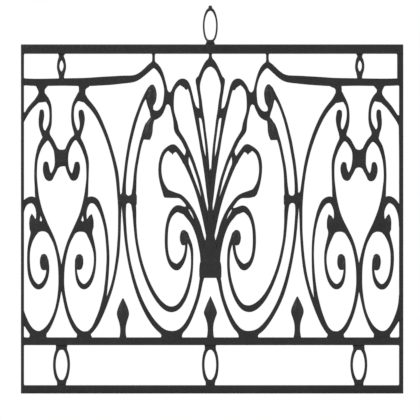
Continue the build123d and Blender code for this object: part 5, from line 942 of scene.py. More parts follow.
def contour(field, level):
    """Closed lines where the field has this level, in grid steps."""
    f = field - level
    f = np.where(np.abs(f) < 1e-7, 1e-7, f)
    inside = f < 0
    nz, nx = f.shape
    cell = (inside[:-1, :-1] * 1 + inside[:-1, 1:] * 2 + inside[1:, 1:] * 4 + inside[1:, :-1] * 8)
    js, is_ = np.nonzero((cell > 0) & (cell < 15))
    link = {}
    table = {1: (("L", "B"),), 2: (("B", "R"),), 3: (("L", "R"),), 4: (("R", "T"),),
             5: (("L", "B"), ("R", "T")), 6: (("B", "T"),), 7: (("L", "T"),), 8: (("T", "L"),),
             9: (("T", "B"),), 10: (("B", "R"), ("T", "L")), 11: (("T", "R"),),
             12: (("R", "L"),), 13: (("R", "B"),), 14: (("B", "L"),)}

    def key(j, i, e):
        if e == "B":
            return (j, i, 0)
        if e == "T":
            return (j + 1, i, 0)
        if e == "L":
            return (j, i, 1)
        return (j, i + 1, 1)
    for j, i in zip(js.tolist(), is_.tolist()):
        for a, b in table[int(cell[j, i])]:
            ka, kb = key(j, i, a), key(j, i, b)
            link.setdefault(ka, []).append(kb)
            link.setdefault(kb, []).append(ka)

    def place(k):
        j, i, e = k
        if e == 0:
            a, b = f[j, i], f[j, i + 1]
            return (i + a / (a - b), float(j))
        a, b = f[j, i], f[j + 1, i]
        return (float(i), j + a / (a - b))
    loops, seen = [], set()
    for start in list(link):
        if start in seen or len(link[start]) != 2:
            continue
        loop, k, prev = [], start, None
        while k is not None and k not in seen:
            seen.add(k)
            loop.append(place(k))
            nxt = [m for m in link[k] if m != prev]
            prev, k = k, (nxt[0] if nxt else None)
        if len(loop) > 5:
            loops.append(loop)
    return loops


def thin_out(loop, tol, longest):
    """Drop points of a closed line that are not needed to keep its shape."""
    p = np.array(loop)
    # even out the steps of the grid
    p = (np.roll(p, 1, 0) + 2 * p + np.roll(p, -1, 0)) / 4
    n = len(p)
    seg = np.linalg.norm(np.roll(p, -1, 0) - p, axis=1)
    keep = []
    i = 0
    anchor = 0
    while i < n:
        keep.append(i)
        j = i + 1
        length = seg[i]
        while j < n:
            length += seg[j % n]
            if length > longest:
                break
            a, b = p[i], p[(j + 1) % n]
            d = b - a
            ld = math.hypot(d[0], d[1])
            if ld < 1e-6:
                break
            q = p[i + 1:j + 1] - a
            off = np.abs(q[:, 0] * d[1] - q[:, 1] * d[0]) / ld
            if off.max() > tol:
                break
            j += 1
        i = j
    if len(keep) > 4 and (n - keep[-1]) < 2:
        keep.pop()
    return p[keep]


def sample(a, xs, zs):
    """Bilinear reading of a grid at points given in grid steps."""
    nz, nx = a.shape
    xs = np.clip(xs, 0, nx - 1.001)
    zs = np.clip(zs, 0, nz - 1.001)
    i, j = xs.astype(int), zs.astype(int)
    fx, fz = xs - i, zs - j
    return ((a[j, i] * (1 - fx) + a[j, i + 1] * fx) * (1 - fz)
            + (a[j + 1, i] * (1 - fx) + a[j + 1, i + 1] * fx) * fz)


def relief_mesh(name, parts, x_min=-1e9, x_max=1e9, seed=0.0, hammer=0.12, soften=0.85, fine=4.5):
    """One closed mesh for a whole piece: its bars run into each other with worn inner corners."""
    reach = [max(p[2] for p in part.points) / 2 for part in parts]
    x0 = min(min(p[0] for p in part.points) - r for part, r in zip(parts, reach)) - 6
    x1 = max(max(p[0] for p in part.points) + r for part, r in zip(parts, reach)) + 6
    z0 = min(min(p[1] for p in part.points) - r for part, r in zip(parts, reach)) - 6
    z1 = max(max(p[1] for p in part.points) + r for part, r in zip(parts, reach)) + 6
    x0, x1 = max(x0, x_min - 8), min(x1, x_max + 8)
    nx, nz = int((x1 - x0) / GRID) + 2, int((z1 - z0) / GRID) + 2
    total = np.full((nz, nx), FAR)
    top = np.zeros((nz, nx))
    arris = np.zeros((nz, nx))
    weight = np.full((nz, nx), 1e-30)
    gz = (z0 + np.arange(nz) * GRID)[:, None] + np.zeros((1, nx))
    for part in parts:
        sd, ww, hh = fields(part, x0, z0, nx, nz)
        total = np.minimum(total, sd)
        for other, radius, wx, wz, far in part.welds:
            beside = fields(other, x0, z0, nx, nz)[0]
            total = np.minimum(total, fillet(sd, beside, radius, wx, wz, far, x0, z0))
        t = relief(part.kind, -sd, ww, hh)
        for lo, hi, rise in part.bands:
            m = np.clip((gz - lo) / 1.5, 0, 1) * np.clip((hi - gz) / 1.5, 0, 1)
            t = t + rise * m
        near = 1.0 / (1.0 + np.exp(np.clip((sd + 0.2) / 0.7, -30, 30)))
        pull = near * np.exp(np.clip(1.3 * (t - 8.0), -20, 20)) + 1e-12 * np.exp(-np.clip(sd, 0, 20))
        top += pull * t
        arris += pull * ARRIS[part.kind]
        weight += pull
    top /= weight
    arris /= weight
    total = blur(total, soften)
    gx = (x0 + np.arange(nx) * GRID)[None, :]
    if x_min > -1e8:
        total = np.maximum(total, x_min - gx)
    if x_max < 1e8:
        total = np.maximum(total, gx - x_max)
    total[0, :] = total[-1, :] = FAR
    total[:, 0] = total[:, -1] = FAR
    deepest = float(-total.min())
    levels = [0.0, 0.22, 0.75, 1.6]
    nxt = 2.9
    while nxt < deepest - 0.5:
        levels.append(nxt)
        nxt += 2.2 if nxt < 8 else 3.6
    coords, depth_at, edges = [], [], []
    for lv in levels:
        if lv > deepest:
            break
        for loop in contour(total, -lv):
            pts = thin_out(loop, 0.035 if lv < 2 else 0.08, fine if lv < 2 else fine + 1.5)
            if len(pts) < 4:
                continue
            base = len(coords)
            coords.extend(pts.tolist())
            depth_at.extend([lv] * len(pts))
            edges.extend((base + k, base + (k + 1) % len(pts)) for k in range(len(pts)))
    taken = {}
    for c in coords:
        taken.setdefault((int(c[0]), int(c[1])), []).append(c)
    for part in parts:
        if part.kind in ("ridge", "leaf", "ball", "ring", "soft"):
            line, shut = (part.spine, False) if part.spine else (part.points, part.closed)
            for x, z, w in even(line, 2.6, shut):
                gx1, gz1 = (x - x0) / GRID, (z - z0) / GRID
                if not (1 < gx1 < nx - 2 and 1 < gz1 < nz - 2):
                    continue
                d = -float(sample(total, np.array([gx1]), np.array([gz1]))[0])
                if d < 0.9:
                    continue
                close = False
                for a in (-1, 0, 1):
                    for b in (-1, 0, 1):
                        for c in taken.get((int(gx1) + a, int(gz1) + b), ()):
                            if math.hypot(c[0] - gx1, c[1] - gz1) < 0.7:
                                close = True
                if not close:
                    coords.append([gx1, gz1])
                    depth_at.append(d)
                    taken.setdefault((int(gx1), int(gz1)), []).append([gx1, gz1])
    for part in parts:
        for lo, hi, rise in part.bands:
            row = [p for p in part.points if lo - 4 < p[1] < hi + 4]
            if not row:
                continue
            left = min(p[0] - p[2] / 2 for p in row)
            right = max(p[0] + p[2] / 2 for p in row)
            for z in (lo, lo + 0.75, lo + 1.5, hi - 1.5, hi - 0.75, hi):
                x, last = left, None
                while x <= right:
                    gx1, gz1 = (x - x0) / GRID, (z - z0) / GRID
                    d = -float(sample(total, np.array([gx1]), np.array([gz1]))[0])
                    if d > 1.7:
                        coords.append([gx1, gz1])
                        depth_at.append(d)
                        if last is not None:
                            edges.append((last, len(coords) - 1))
                        last = len(coords) - 1
                    else:
                        last = None
                    x += 1.5
    out = delaunay_2d_cdt([Vector(c) for c in coords], edges, [], 0, 1e-5, True)
    v2 = np.array([[v[0], v[1]] for v in out[0]])
    origin = out[3]
    d = -sample(total, v2[:, 0], v2[:, 1])
    for k, ids in enumerate(origin):
        if ids:
            d[k] = depth_at[ids[0]]
    tris = np.array([f for f in out[2] if len(f) == 3])
    mid = v2[tris].mean(axis=1)
    inside = sample(total, mid[:, 0], mid[:, 1]) < 0
    # thin slivers on the outline follow their corners, not the grid
    flat = (d[tris].max(axis=1) <= 1e-9)
    tris = tris[inside & ~(flat & (sample(total, mid[:, 0], mid[:, 1]) > -0.02))]
    used = np.unique(tris)
    remap = -np.ones(len(v2), int)
    remap[used] = np.arange(len(used))
    tris = remap[tris]
    v2, d = v2[used], np.maximum(d[used], 0.0)
    t = sample(top, v2[:, 0], v2[:, 1])
    r = np.maximum(sample(arris, v2[:, 0], v2[:, 1]), 0.3)
    u = np.clip(d / r, 0, 1)
    h = t - r * (1 - np.sqrt(np.maximum(1 - (1 - u) ** 2, 0)))
    h = np.maximum(h, 0.8)
    xs, zs = x0 + v2[:, 0] * GRID, z0 + v2[:, 1] * GRID
    n = len(v2)
    front, back = [], []
    for x, z, y in zip(xs.tolist(), zs.tolist(), h.tolist()):
        a = hammer * noise.noise(Vector((x * 0.06, z * 0.06, seed)))
        b = hammer * noise.noise(Vector((x * 0.06, z * 0.06, seed + 40.0)))
        front.append((x * MM, -(y + a) * MM, z * MM))
        back.append((x * MM, (y + b) * MM, z * MM))
    verts = front + back
    faces = []
    count = {}
    for a, b, c in tris.tolist():
        faces.append((a, b, c))
        faces.append((n + a, n + c, n + b))
        for e in ((a, b), (b, c), (c, a)):
            k = (min(e), max(e))
            count.setdefault(k, []).append(e)
    for es in count.values():
        if len(es) == 1:
            a, b = es[0]
            faces.append((b, a, n + a, n + b))
    me = bpy.data.meshes.new(name)
    me.from_pydata(verts, [], faces)
    bm = bmesh.new()
    bm.from_mesh(me)
    bmesh.ops.recalc_face_normals(bm, faces=bm.faces)
    bm.to_mesh(me)
    bm.free()
    return me


# ---- making pieces --------------------------------------------------------------------------
scene_objects = bpy.context.scene.collection.objects
PIECES = {}


def bar(name, side="center", kind="bar", deep=BAR_DEPTH, rows=None, below=None, above=None,
        sink=(0.0, 0.0), bands=(), tip=(1.0, 1.0), skip=(0.0, 0.0),
        point=None, most=None, turn=None, swell=None):
    """One forged bar, leaf or boss of a piece, from its centre line. With point, its start is
    drawn out by so many mm to a width; most is its greatest width; with turn it bends round
    without a break into the line of that name; swell thickens it about a point (x, z), by so
    many mm, and shifts it sideways."""
    source = STROKES[side][name]
    if rows:
        source = source[rows[0]:rows[1]]
    points = even(spline(source, 8), 1.6)
    points = points[int(skip[0] / 1.6):len(points) - int(skip[1] / 1.6)]
    if most:
        points = [(x, z, min(w, most)) for x, z, w in points]
    if turn:
        more = even(spline(STROKES[side][turn], 8), 1.6)
        n = len(points) - 3
        points = points[:-3] + more[3:]
        for _ in range(14):
            points = [p if i < n - 16 or i > n + 8 or i == len(points) - 1 else
                      tuple((points[i - 1][m] + 2 * p[m] + points[i + 1][m]) / 4 for m in range(3))
                      for i, p in enumerate(points)]
        points = [(x, z - 1.1 * math.exp(-((i - n) / 6) ** 2), w + 2.1 * math.exp(-((i - n) / 6) ** 2))
                  for i, (x, z, w) in enumerate(points)]
        points = even(points, 1.6)
    if swell:
        sx, sz, more, shift, far = swell
        full = [math.exp(-((x - sx) ** 2 + (z - sz) ** 2) / far ** 2) for x, z, w in points]
        points = [(x + shift * f, z, w + more * f) for (x, z, w), f in zip(points, full)]
    if point:
        a, b = points[0], points[3]
        length = math.hypot(a[0] - b[0], a[1] - b[1])
        dx, dz = (a[0] - b[0]) / length, (a[1] - b[1]) / length
        k = int(point[0] / 1.25)
        points = [(a[0] + dx * 1.25 * i, a[1] + dz * 1.25 * i, a[2] + (point[1] - a[2]) * (i / k) ** 1.6)
                  for i in range(k, 0, -1)] + points
    if below is not None:
        points = [p for p in points if p[1] < below]
    if above is not None:
        points = [p for p in points if p[1] > above]
    return Part(points, kind, deep, sink=sink, bands=bands, tip=tip)


def ring(name, side="center", deep=12.0, kind="ring"):
    return Part(even(closed_spline(LOOPS[side][name], 8), 1.6, closed=True), kind, deep, closed=True)


def straight(a, b, width, deep, kind="bar", bands=()):
    """A rail or post from a to b (x, z), with its width across in the panel's plane."""
    return Part(even([(a[0], a[1], width), (b[0], b[1], width)], 6.0), kind, deep, bands=bands)


def weld(part, other, radius, end, reach=None):
    """Fillet where the end of a bar touches another one, or around a point (x, z)."""
    if isinstance(end, tuple):
        (x, z), w = end, 20.0
    else:
        x, z, w = part.points[0] if end == 0 else part.points[-1]
    part.welds.append((other, radius, x, z, reach or w / 2 + 3.0 * radius))
    return part


def forge(node, parts, material, slot, lo=-1e9, hi=1e9, hammer=0.12, fine=4.5):
    """One welded, closed piece that stands for a node of the frame."""
    seed = (sum(ord(c) for c in node) % 97) * 0.37
    mesh = relief_mesh(node + "_iron", parts, lo, hi, seed, hammer, fine=fine)
    mesh.shade_smooth()
    mesh.set_sharp_from_angle(angle=math.radians(42))
    piece = bpy.data.objects.new(node + "_iron", mesh)
    scene_objects.link(piece)
    mesh.materials.append(material)
    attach(piece, "root")
    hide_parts(node)
    PIECES[node] = piece
    return piece


# ---- finishes -------------------------------------------------------------------------------
def paint(name, base, wear, dent_scale, dent_depth, grain_scale, grain_depth, rough_mid):
    """Satin charcoal paint over hammered bar or sand-cast iron, thin on the arrises and with a little dust
    where it faces up; the concave corners are darkened with painted shade."""
    mat = bpy.data.materials.new(name)
    mat.use_nodes = True
    nt = mat.node_tree
    nodes, links = nt.nodes, nt.links
    bsdf = nodes["Principled BSDF"]
    bsdf.inputs["Metallic"].default_value = 0.0
    bsdf.inputs["IOR"].default_value = 1.5
    bsdf.inputs["Specular IOR Level"].default_value = 0.36

    def node(kind, **values):
        n = nodes.new(kind)
        for k, v in values.items():
            if k in n.inputs:
                n.inputs[k].default_value = v
            else:
                setattr(n, k, v)
        return n

    def span(source, lo, hi, to_lo=0.0, to_hi=1.0):
        m = nodes.new("ShaderNodeMapRange")
        m.inputs["From Min"].default_value = lo
        m.inputs["From Max"].default_value = hi
        m.inputs["To Min"].default_value = to_lo
        m.inputs["To Max"].default_value = to_hi
        links.new(source, m.inputs["Value"])
        return m.outputs["Result"]

    def times(a, b):
        m = nodes.new("ShaderNodeMath")
        m.operation = "MULTIPLY"
        links.new(a, m.inputs[0])
        links.new(b, m.inputs[1])
        return m.outputs["Value"]

    def over(factor, below, colour):
        m = nodes.new("ShaderNodeMix")
        m.data_type = "RGBA"
        m.inputs["B"].default_value = (*colour, 1)
        links.new(factor, m.inputs["Factor"])
        links.new(below, m.inputs["A"])
        return m.outputs["Result"]

    coord = node("ShaderNodeTexCoord").outputs["Object"]
    patch = node("ShaderNodeTexNoise", Scale=14.0, Detail=5.0, Roughness=0.62)
    spots = node("ShaderNodeTexNoise", Scale=160.0, Detail=5.0, Roughness=0.7)
    grain = node("ShaderNodeTexNoise", Scale=grain_scale, Detail=3.0, Roughness=0.6)
    dent = node("ShaderNodeTexVoronoi", Scale=dent_scale)
    dent.feature = "SMOOTH_F1"
    dent.inputs["Smoothness"].default_value = 0.75
    peel = node("ShaderNodeTexNoise", Scale=330.0, Detail=2.0, Roughness=0.5)
    for n in (patch, spots, grain, dent, peel):
        links.new(coord, n.inputs["Vector"])

    tone = nodes.new("ShaderNodeValToRGB")
    tone.color_ramp.elements[0].position = 0.30
    tone.color_ramp.elements[1].position = 0.72
    tone.color_ramp.elements[0].color = (base[0] * 0.74, base[1] * 0.74, base[2] * 0.76, 1)
    tone.color_ramp.elements[1].color = (base[0] * 1.24, base[1] * 1.24, base[2] * 1.23, 1)
    links.new(patch.outputs["Fac"], tone.inputs["Fac"])

    geo = node("ShaderNodeNewGeometry")
    edge = times(span(geo.outputs["Pointiness"], 0.53, 0.62),
                 span(spots.outputs["Fac"], 0.42, 0.68, 0.0, wear))
    colour = over(edge, tone.outputs["Color"], (0.075, 0.074, 0.072))
    # painted shade: concave corners (low pointiness) are mixed towards near-black, standing in for the shade
    # that falls in them
    corner = span(geo.outputs["Pointiness"], 0.47, 0.40, 0.0, 0.55)
    colour = over(corner, colour, (0.006, 0.0055, 0.005))
    facing = nodes.new("ShaderNodeSeparateXYZ")
    links.new(geo.outputs["Normal"], facing.inputs["Vector"])
    settle = times(span(facing.outputs["Z"], 0.5, 1.0, 0.0, 0.34), spots.outputs["Fac"])
    colour = over(settle, colour, (0.10, 0.095, 0.088))
    links.new(colour, bsdf.inputs["Base Color"])

    links.new(span(spots.outputs["Fac"], 0.3, 0.7, rough_mid - 0.09, rough_mid + 0.11),
              bsdf.inputs["Roughness"])

    last = None
    for source, strength, depth in ((dent.outputs["Distance"], 0.8, dent_depth),
                                    (peel.outputs["Fac"], 0.5, 0.00022),
                                    (grain.outputs["Fac"], 0.45, grain_depth)):
        b = nodes.new("ShaderNodeBump")
        b.inputs["Strength"].default_value = strength
        b.inputs["Distance"].default_value = depth
        links.new(source, b.inputs["Height"])
        if last:
            links.new(last, b.inputs["Normal"])
        last = b.outputs["Normal"]
    links.new(last, bsdf.inputs["Normal"])
    return mat


bar_paint = paint("charcoal_paint_on_bar", (0.0116, 0.0116, 0.0120), 0.65, 95.0, 0.0016,
                  900.0, 0.00012, 0.43)
cast_paint = paint("charcoal_paint_on_casting", (0.0110, 0.0110, 0.0113), 0.55, 300.0, 0.0006,
                   1500.0, 0.00022, 0.50)
BARS, CASTS = "painted_bar", "painted_casting"

# outer corners of the lower leaves (x, z)
CUSP = {"left": [(-138.1, 561.2), (-133.7, 543.8), (-130.9, 538.9), (-110.3, 538.1), (-93.8, 538.1),
                 (-92.4, 549.9), (-107.6, 554.6), (-120.5, 560.9), (-129.0, 568.6)],
        "right": [(127.8, 561.2), (123.0, 548.0), (117.8, 541.8), (104.2, 538.3), (84.9, 537.8), (82.2,
                  551.0), (95.9, 555.9), (110.5, 560.9), (118.5, 568.6)]}

# outer corners of the shoulders on the middle leaf (x, z)
SHOULDER = {"left": [(-38.0, 872.5), (-43.8, 867.0), (-45.1, 862.8), (-45.0, 855.4), (-43.5, 849.1),
                     (-42.1, 840.3), (-40.7, 832.0), (-38.8, 822.4), (-33.9, 822.4), (-33.9, 840.3),
                     (-32.5, 856.8), (-30.6, 870.6), (-31.9, 874.7)],
            "right": [(28.0, 872.7), (33.5, 866.7), (35.2, 862.8), (35.0, 857.3), (34.1, 849.9),
                      (32.7, 841.7), (31.3, 832.0), (29.9, 822.4), (24.4, 822.4), (25.3, 840.3),
                      (23.9, 856.8), (20.3, 870.6), (21.7, 874.7)]}

# spear points: x, then (z, width) from the tip down
SPEAR = {"center": (-4.6, [(267.4, 1.4), (258.7, 8.0), (247.7, 18.2), (236.7, 27.0), (226.5, 34.6),
                           (222.1, 35.6), (217.4, 33.8), (209.2, 27.0), (200.9, 21.6), (192.7, 17.4),
                           (184.4, 15.3), (174.8, 14.6), (165.2, 16.0), (158.3, 17.6), (152.0, 19.0)]),
         "left": (-245.2, [(262.6, 1.4), (258.7, 5.4), (250.4, 13.5), (242.2, 20.9), (233.9, 27.2),
                           (225.7, 31.9), (218.8, 33.2), (213.2, 31.4), (209.2, 29.2), (200.9, 23.7),
                           (192.7, 19.0), (184.4, 15.7), (176.2, 14.4), (167.9, 14.6), (159.7, 16.5),
                           (152.0, 19.0)]),
         "right": (234.4, [(267.0, 1.8), (258.7, 10.6), (250.4, 18.4), (242.2, 25.6), (233.9, 31.9),
                           (227.6, 34.4), (222.5, 33.8), (217.4, 31.4), (209.2, 25.6), (200.9, 20.4),
                           (192.7, 16.5), (184.4, 14.9), (176.2, 14.6), (167.9, 15.4), (159.7, 18.2),
                           (152.0, 20.0)])}

# scroll collars: middle x, width, top z, bottom z, shift of the web; clasps: x, width, top, bottom
COLLAR = {"left": (-234.7, 48.4, 543.8, 524.6, 6.0), "right": (224.5, 48.4, 543.8, 524.6, -6.0)}
# the scroll and the bow close on each other below their collar: where, how much wider, shift, reach
SLIT = {"left": ((-241.5, 521.0, 1.5, -0.7, 18.0), (-256.5, 521.0, 1.5, 0.7, 18.0)),
        "right": ((231.5, 521.0, 1.0, 0.5, 17.0), (246.5, 521.0, 1.0, -0.5, 17.0))}
# filling of the narrow gap above each scroll collar (x, z)
WEDGE = {"left": [(-257.2, 556.0), (-251.7, 545.6), (-246.2, 556.0), (-245.6, 538.0), (-257.5, 538.0)],
         "right": [(232.8, 561.0), (238.6, 549.9), (244.4, 561.0), (244.9, 538.0), (232.4, 538.0)]}
# the stem of each lower leaf bends out from the curl beside it: where, wider, shift, reach
STEM = {"left": (-56.0, 500.0, -1.4, 2.2, 20.0), "right": (45.0, 500.0, -1.2, -1.7, 20.0)}
CLASP = {"left": (-415.5, 33.0, 666.0, 634.0), "right": (404.6, 33.0, 666.0, 634.0)}

# ---- frame ----------------------------------------------------------------------------------
TOP = straight((FRAME_LEFT - 12, (FRAME_TOP + TOP_RAIL_BASE) / 2),
               (FRAME_RIGHT + 12, (FRAME_TOP + TOP_RAIL_BASE) / 2),
               FRAME_TOP - TOP_RAIL_BASE, TOP_RAIL_DEPTH, "rail")
mid = (BOTTOM_RAIL_TOP + COAT) / 2
BOTTOM = straight((FRAME_LEFT - 12, mid), (FRAME_RIGHT + 12, mid), BOTTOM_RAIL_TOP - COAT, FRAME_DEPTH)
mid = (LOWER_RAIL_BASE + LOWER_RAIL_TOP) / 2
LOWER = straight((LEFT_POST_INNER - 3, mid), (RIGHT_POST_INNER + 3, mid),
                 LOWER_RAIL_TOP - LOWER_RAIL_BASE, FRAME_DEPTH - 1.0)
lx = (FRAME_LEFT + LEFT_POST_INNER) / 2
LEFT_POST = straight((lx, BOTTOM_RAIL_TOP - 3), (lx, TOP_RAIL_BASE + 3),
                     LEFT_POST_INNER - FRAME_LEFT, FRAME_DEPTH - 0.6)
rx = (FRAME_RIGHT + RIGHT_POST_INNER) / 2
hx = (FRAME_RIGHT + RIGHT_HEAD_INNER) / 2
RIGHT_POST = straight((rx, BOTTOM_RAIL_TOP - 3), (rx, TOP_RAIL_BASE + 3),
                      FRAME_RIGHT - RIGHT_POST_INNER, FRAME_DEPTH - 0.6)
RIGHT_HEAD = straight((hx, RIGHT_HEAD_BASE), (hx, TOP_RAIL_BASE + 3),
                      FRAME_RIGHT - RIGHT_HEAD_INNER, FRAME_DEPTH - 0.6)
for end, rail in ((0, BOTTOM), (1, TOP)):
    weld(LEFT_POST, rail, 3.0, end)
    weld(RIGHT_POST, rail, 3.0, end)
weld(RIGHT_HEAD, TOP, 3.0, 1)
weld(LOWER, LEFT_POST, 3.0, 0)
weld(LOWER, RIGHT_POST, 3.0, 1)
OUT_LEFT, OUT_RIGHT = FRAME_LEFT - COAT, FRAME_RIGHT + COAT
forge("top_rail", [TOP], bar_paint, BARS, OUT_LEFT, OUT_RIGHT, 0.07)
forge("bottom_rail", [BOTTOM], bar_paint, BARS, OUT_LEFT, OUT_RIGHT, 0.07)
forge("lower_rail", [LOWER], bar_paint, BARS, FRAME_LEFT + 2, FRAME_RIGHT - 2, 0.07)
forge("left_post", [LEFT_POST], bar_paint, BARS, OUT_LEFT, 1e9, 0.05)
forge("right_post", [RIGHT_POST, RIGHT_HEAD], bar_paint, BARS, -1e9, OUT_RIGHT, 0.05)

IN_LEFT, IN_RIGHT = FRAME_LEFT + 3.5, FRAME_RIGHT - 3.5

# ---- upper band, rings and spears ------------------------------------------------------------
for side in ("left", "right"):
    lo, hi = (IN_LEFT, 1e9) if side == "left" else (-1e9, IN_RIGHT)
    post = LEFT_POST if side == "left" else RIGHT_POST
    rail = bar("upper_rail", side, deep=16.8)
    rail.join(1, bar("outer_leaf", side, "leaf"), 4.0)
    weld(rail, post, 3.0, 0)
    hanger = bar("crest_hanger", side, "soft", 12.0)
    weld(hanger, TOP, 2.5, 0)
    weld(hanger, rail, 4.0, 1)
    forge("upper_rail_" + side, [rail, hanger], bar_paint, BARS, lo, hi)

    eye = ring("ring_up", side, 12.0)
    top, low = bar("up_neck_top", side, "soft", 13.0), bar("up_neck_bot", side, "soft", 13.0)
    weld(top, TOP, 3.0, 0)
    weld(low, bar("upper_rail", side), 3.0, 1)
    forge("upper_ring_" + side, [eye, top, low], cast_paint, CASTS, fine=3.0)

    top, low = bar("ring_neck_top", side, "soft", 14.0), bar("ring_neck_bot", side, "soft", 14.0)
    weld(top, LOWER, 2.5, 0)
    weld(low, BOTTOM, 2.5, 1)
    forge("lower_ring_" + side, [ring("ring_low", side), top, low], cast_paint, CASTS, fine=3.0)
top, low = bar("ringC_neck_top", kind="soft", deep=14.0), bar("ringC_neck_bot", kind="soft", deep=14.0)
weld(top, LOWER, 2.5, 0)
weld(low, BOTTOM, 2.5, 1)
forge("lower_ring_center", [ring("ring_low_C"), top, low], cast_paint, CASTS, fine=3.0)
for side, (x, rows) in SPEAR.items():
    rows = rows + [(138.0, rows[-1][1])]
    point = Plate([(x - w / 2, z) for z, w in rows] + [(x + w / 2, z) for z, w in rows[::-1]], 15.0,
                  "ridge", [(x, z, 0.0) for z, w in rows])
    forge("spear_" + side, [weld(point, LOWER, 2.0, (x, LOWER_RAIL_TOP), 18.0)], cast_paint, CASTS,
          fine=3.0)
forge("top_finial_ring",
      [ring("finial", deep=9.0), bar("finial_knob", kind="ball", deep=11.0, tip=(4, 1)),
       weld(bar("finial_neck", kind="soft", deep=15.0), TOP, 1.0, 1)],
      cast_paint, CASTS, fine=3.0)

# ---- palmette -------------------------------------------------------------------------------
forge("palmette_base",
      [bar("stem", deep=14.6, sink=(60, 0)),
       Plate([(-9.6, 606), (-0.8, 606), (0.6, 598), (4, 560), (-14, 560), (-10.8, 598)], 12.0),
       bar("stem", deep=COLLAR_DEPTH - 2.4, below=365.0,
           bands=((355.0, 365.5, 1.1), (316.0, 327.0, 1.1)))], cast_paint, CASTS, fine=2.0)
center = [bar("lobe_center", s, deep=16.4, sink=(0, 50)) for s in ("left", "right")]
crest = bar("center_hanger", kind="soft", deep=15.0)
weld(crest, TOP, 2.5, 0)
forge("palmette_center_leaf",
      center + [Plate(SHOULDER[s], 16.0) for s in ("left", "right")] + [crest],
      cast_paint, CASTS)
for side in ("left", "right"):
    loop = bar("lobe_up_loop", side, deep=16.0, sink=(50, 40))
    tie = bar("tie_up", side, deep=15.0, most=20.0)
    tie.join(1, bar("lobe_center", side), 2.5)
    tie.join(0, loop, 2.5)
    link = bar("tie_scroll", side, deep=15.2, most=30.0)
    link.join(0, bar("upper_rail", side), 8.0)
    link.join(1, loop, 8.0)
    forge("palmette_upper_leaf_" + side,
          [loop, bar("lobe_up_spur", side, deep=15.0), tie, link], cast_paint, CASTS)

    under = bar("lobe_low_under", side, deep=15.7, sink=(0, 40), skip=(16, 0), swell=STEM[side])
    low_loop = bar("lobe_low_loop", side, deep=15.7, sink=(0, 40), skip=(16, 0))
    strut = bar("tie_low", side, deep=14.4)
    weld(strut, bar("lobe_up_loop", side), 3.0, 1)
    weld(strut, low_loop, 3.0, 0)
    forge("palmette_lower_leaf_" + side,
          [under, low_loop, bar("lobe_low_spur", side, deep=15.0), strut,
           Plate(CUSP[side], 15.7)], cast_paint, CASTS)

    # ---- side scrolls ------------------------------------------------------------------------
    curl = bar("volute", side, deep=15.2)
    if side == "left":
        weld(curl, under, 7.5, (-74.0, 512.5), 11.0)
    else:
        weld(curl, under, 5.5, (60.0, 512.0), 10.0)
    forge("volute_" + side, [curl], bar_paint, BARS)
    big_u = bar("outer_u", side, deep=16.2, sink=(60, 0), swell=SLIT[side][0])
    foot = bar("foot_C", side, deep=16.2)
    weld(foot, LOWER, 4.0, 1)
    weld(foot, big_u, 4.0, 0)
    forge("outer_scroll_" + side,
          [big_u, bar("outer_leaf", side, "leaf", 18.6, sink=(0, 22), tip=(3, 4)), foot],
          bar_paint, BARS)
    small_u = bar("inner_u", side, deep=15.6, sink=(40, 18))
    eye = bar("inner_ball", side, "ball", 19.0, tip=(None, None), skip=(8, 9))
    weld(small_u, eye, 8.0, (-69.0, 441.0) if side == "left" else (58.5, 440.5), 16.0)
    forge("inner_scroll_" + side,
          [small_u, bar("inner_leaf", side, "leaf", 18.0, sink=(0, 16), tip=(4, 1)), eye],
          bar_paint, BARS)
    at = COLLAR[side]
    collar = straight((at[0], at[2]), (at[0], at[3]), at[1], 18.8,
                      bands=((at[2] - 6.5, at[2] + 1, 1.1), (at[3] - 1, at[3] + 6.5, 1.1)))
    between = bar("collar_U", side, deep=14.5, skip=(2, 2))
    for other in (big_u, small_u):
        weld(between, other, 7.0, (at[0] + at[4], (at[2] + at[3]) / 2), 34.0)
    forge("scroll_collar_" + side, [collar, between, Plate(WEDGE[side], 14.0)], cast_paint, CASTS,
          fine=2.0)

# thin end of the right outer bow that lies along the post (x, z)
TAIL = [(504.2, 753.7), (506.2, 751.0), (508.2, 748.2), (509.5, 745.5), (511.2, 742.7), (512.4, 740.0),
        (513.2, 735.0), (513.5, 729.0), (513.9, 701.4), (514.3, 668.4), (514.5, 640.9), (515.1, 586.0),
        (519.0, 586.0), (519.0, 765.0), (508.0, 765.0)]

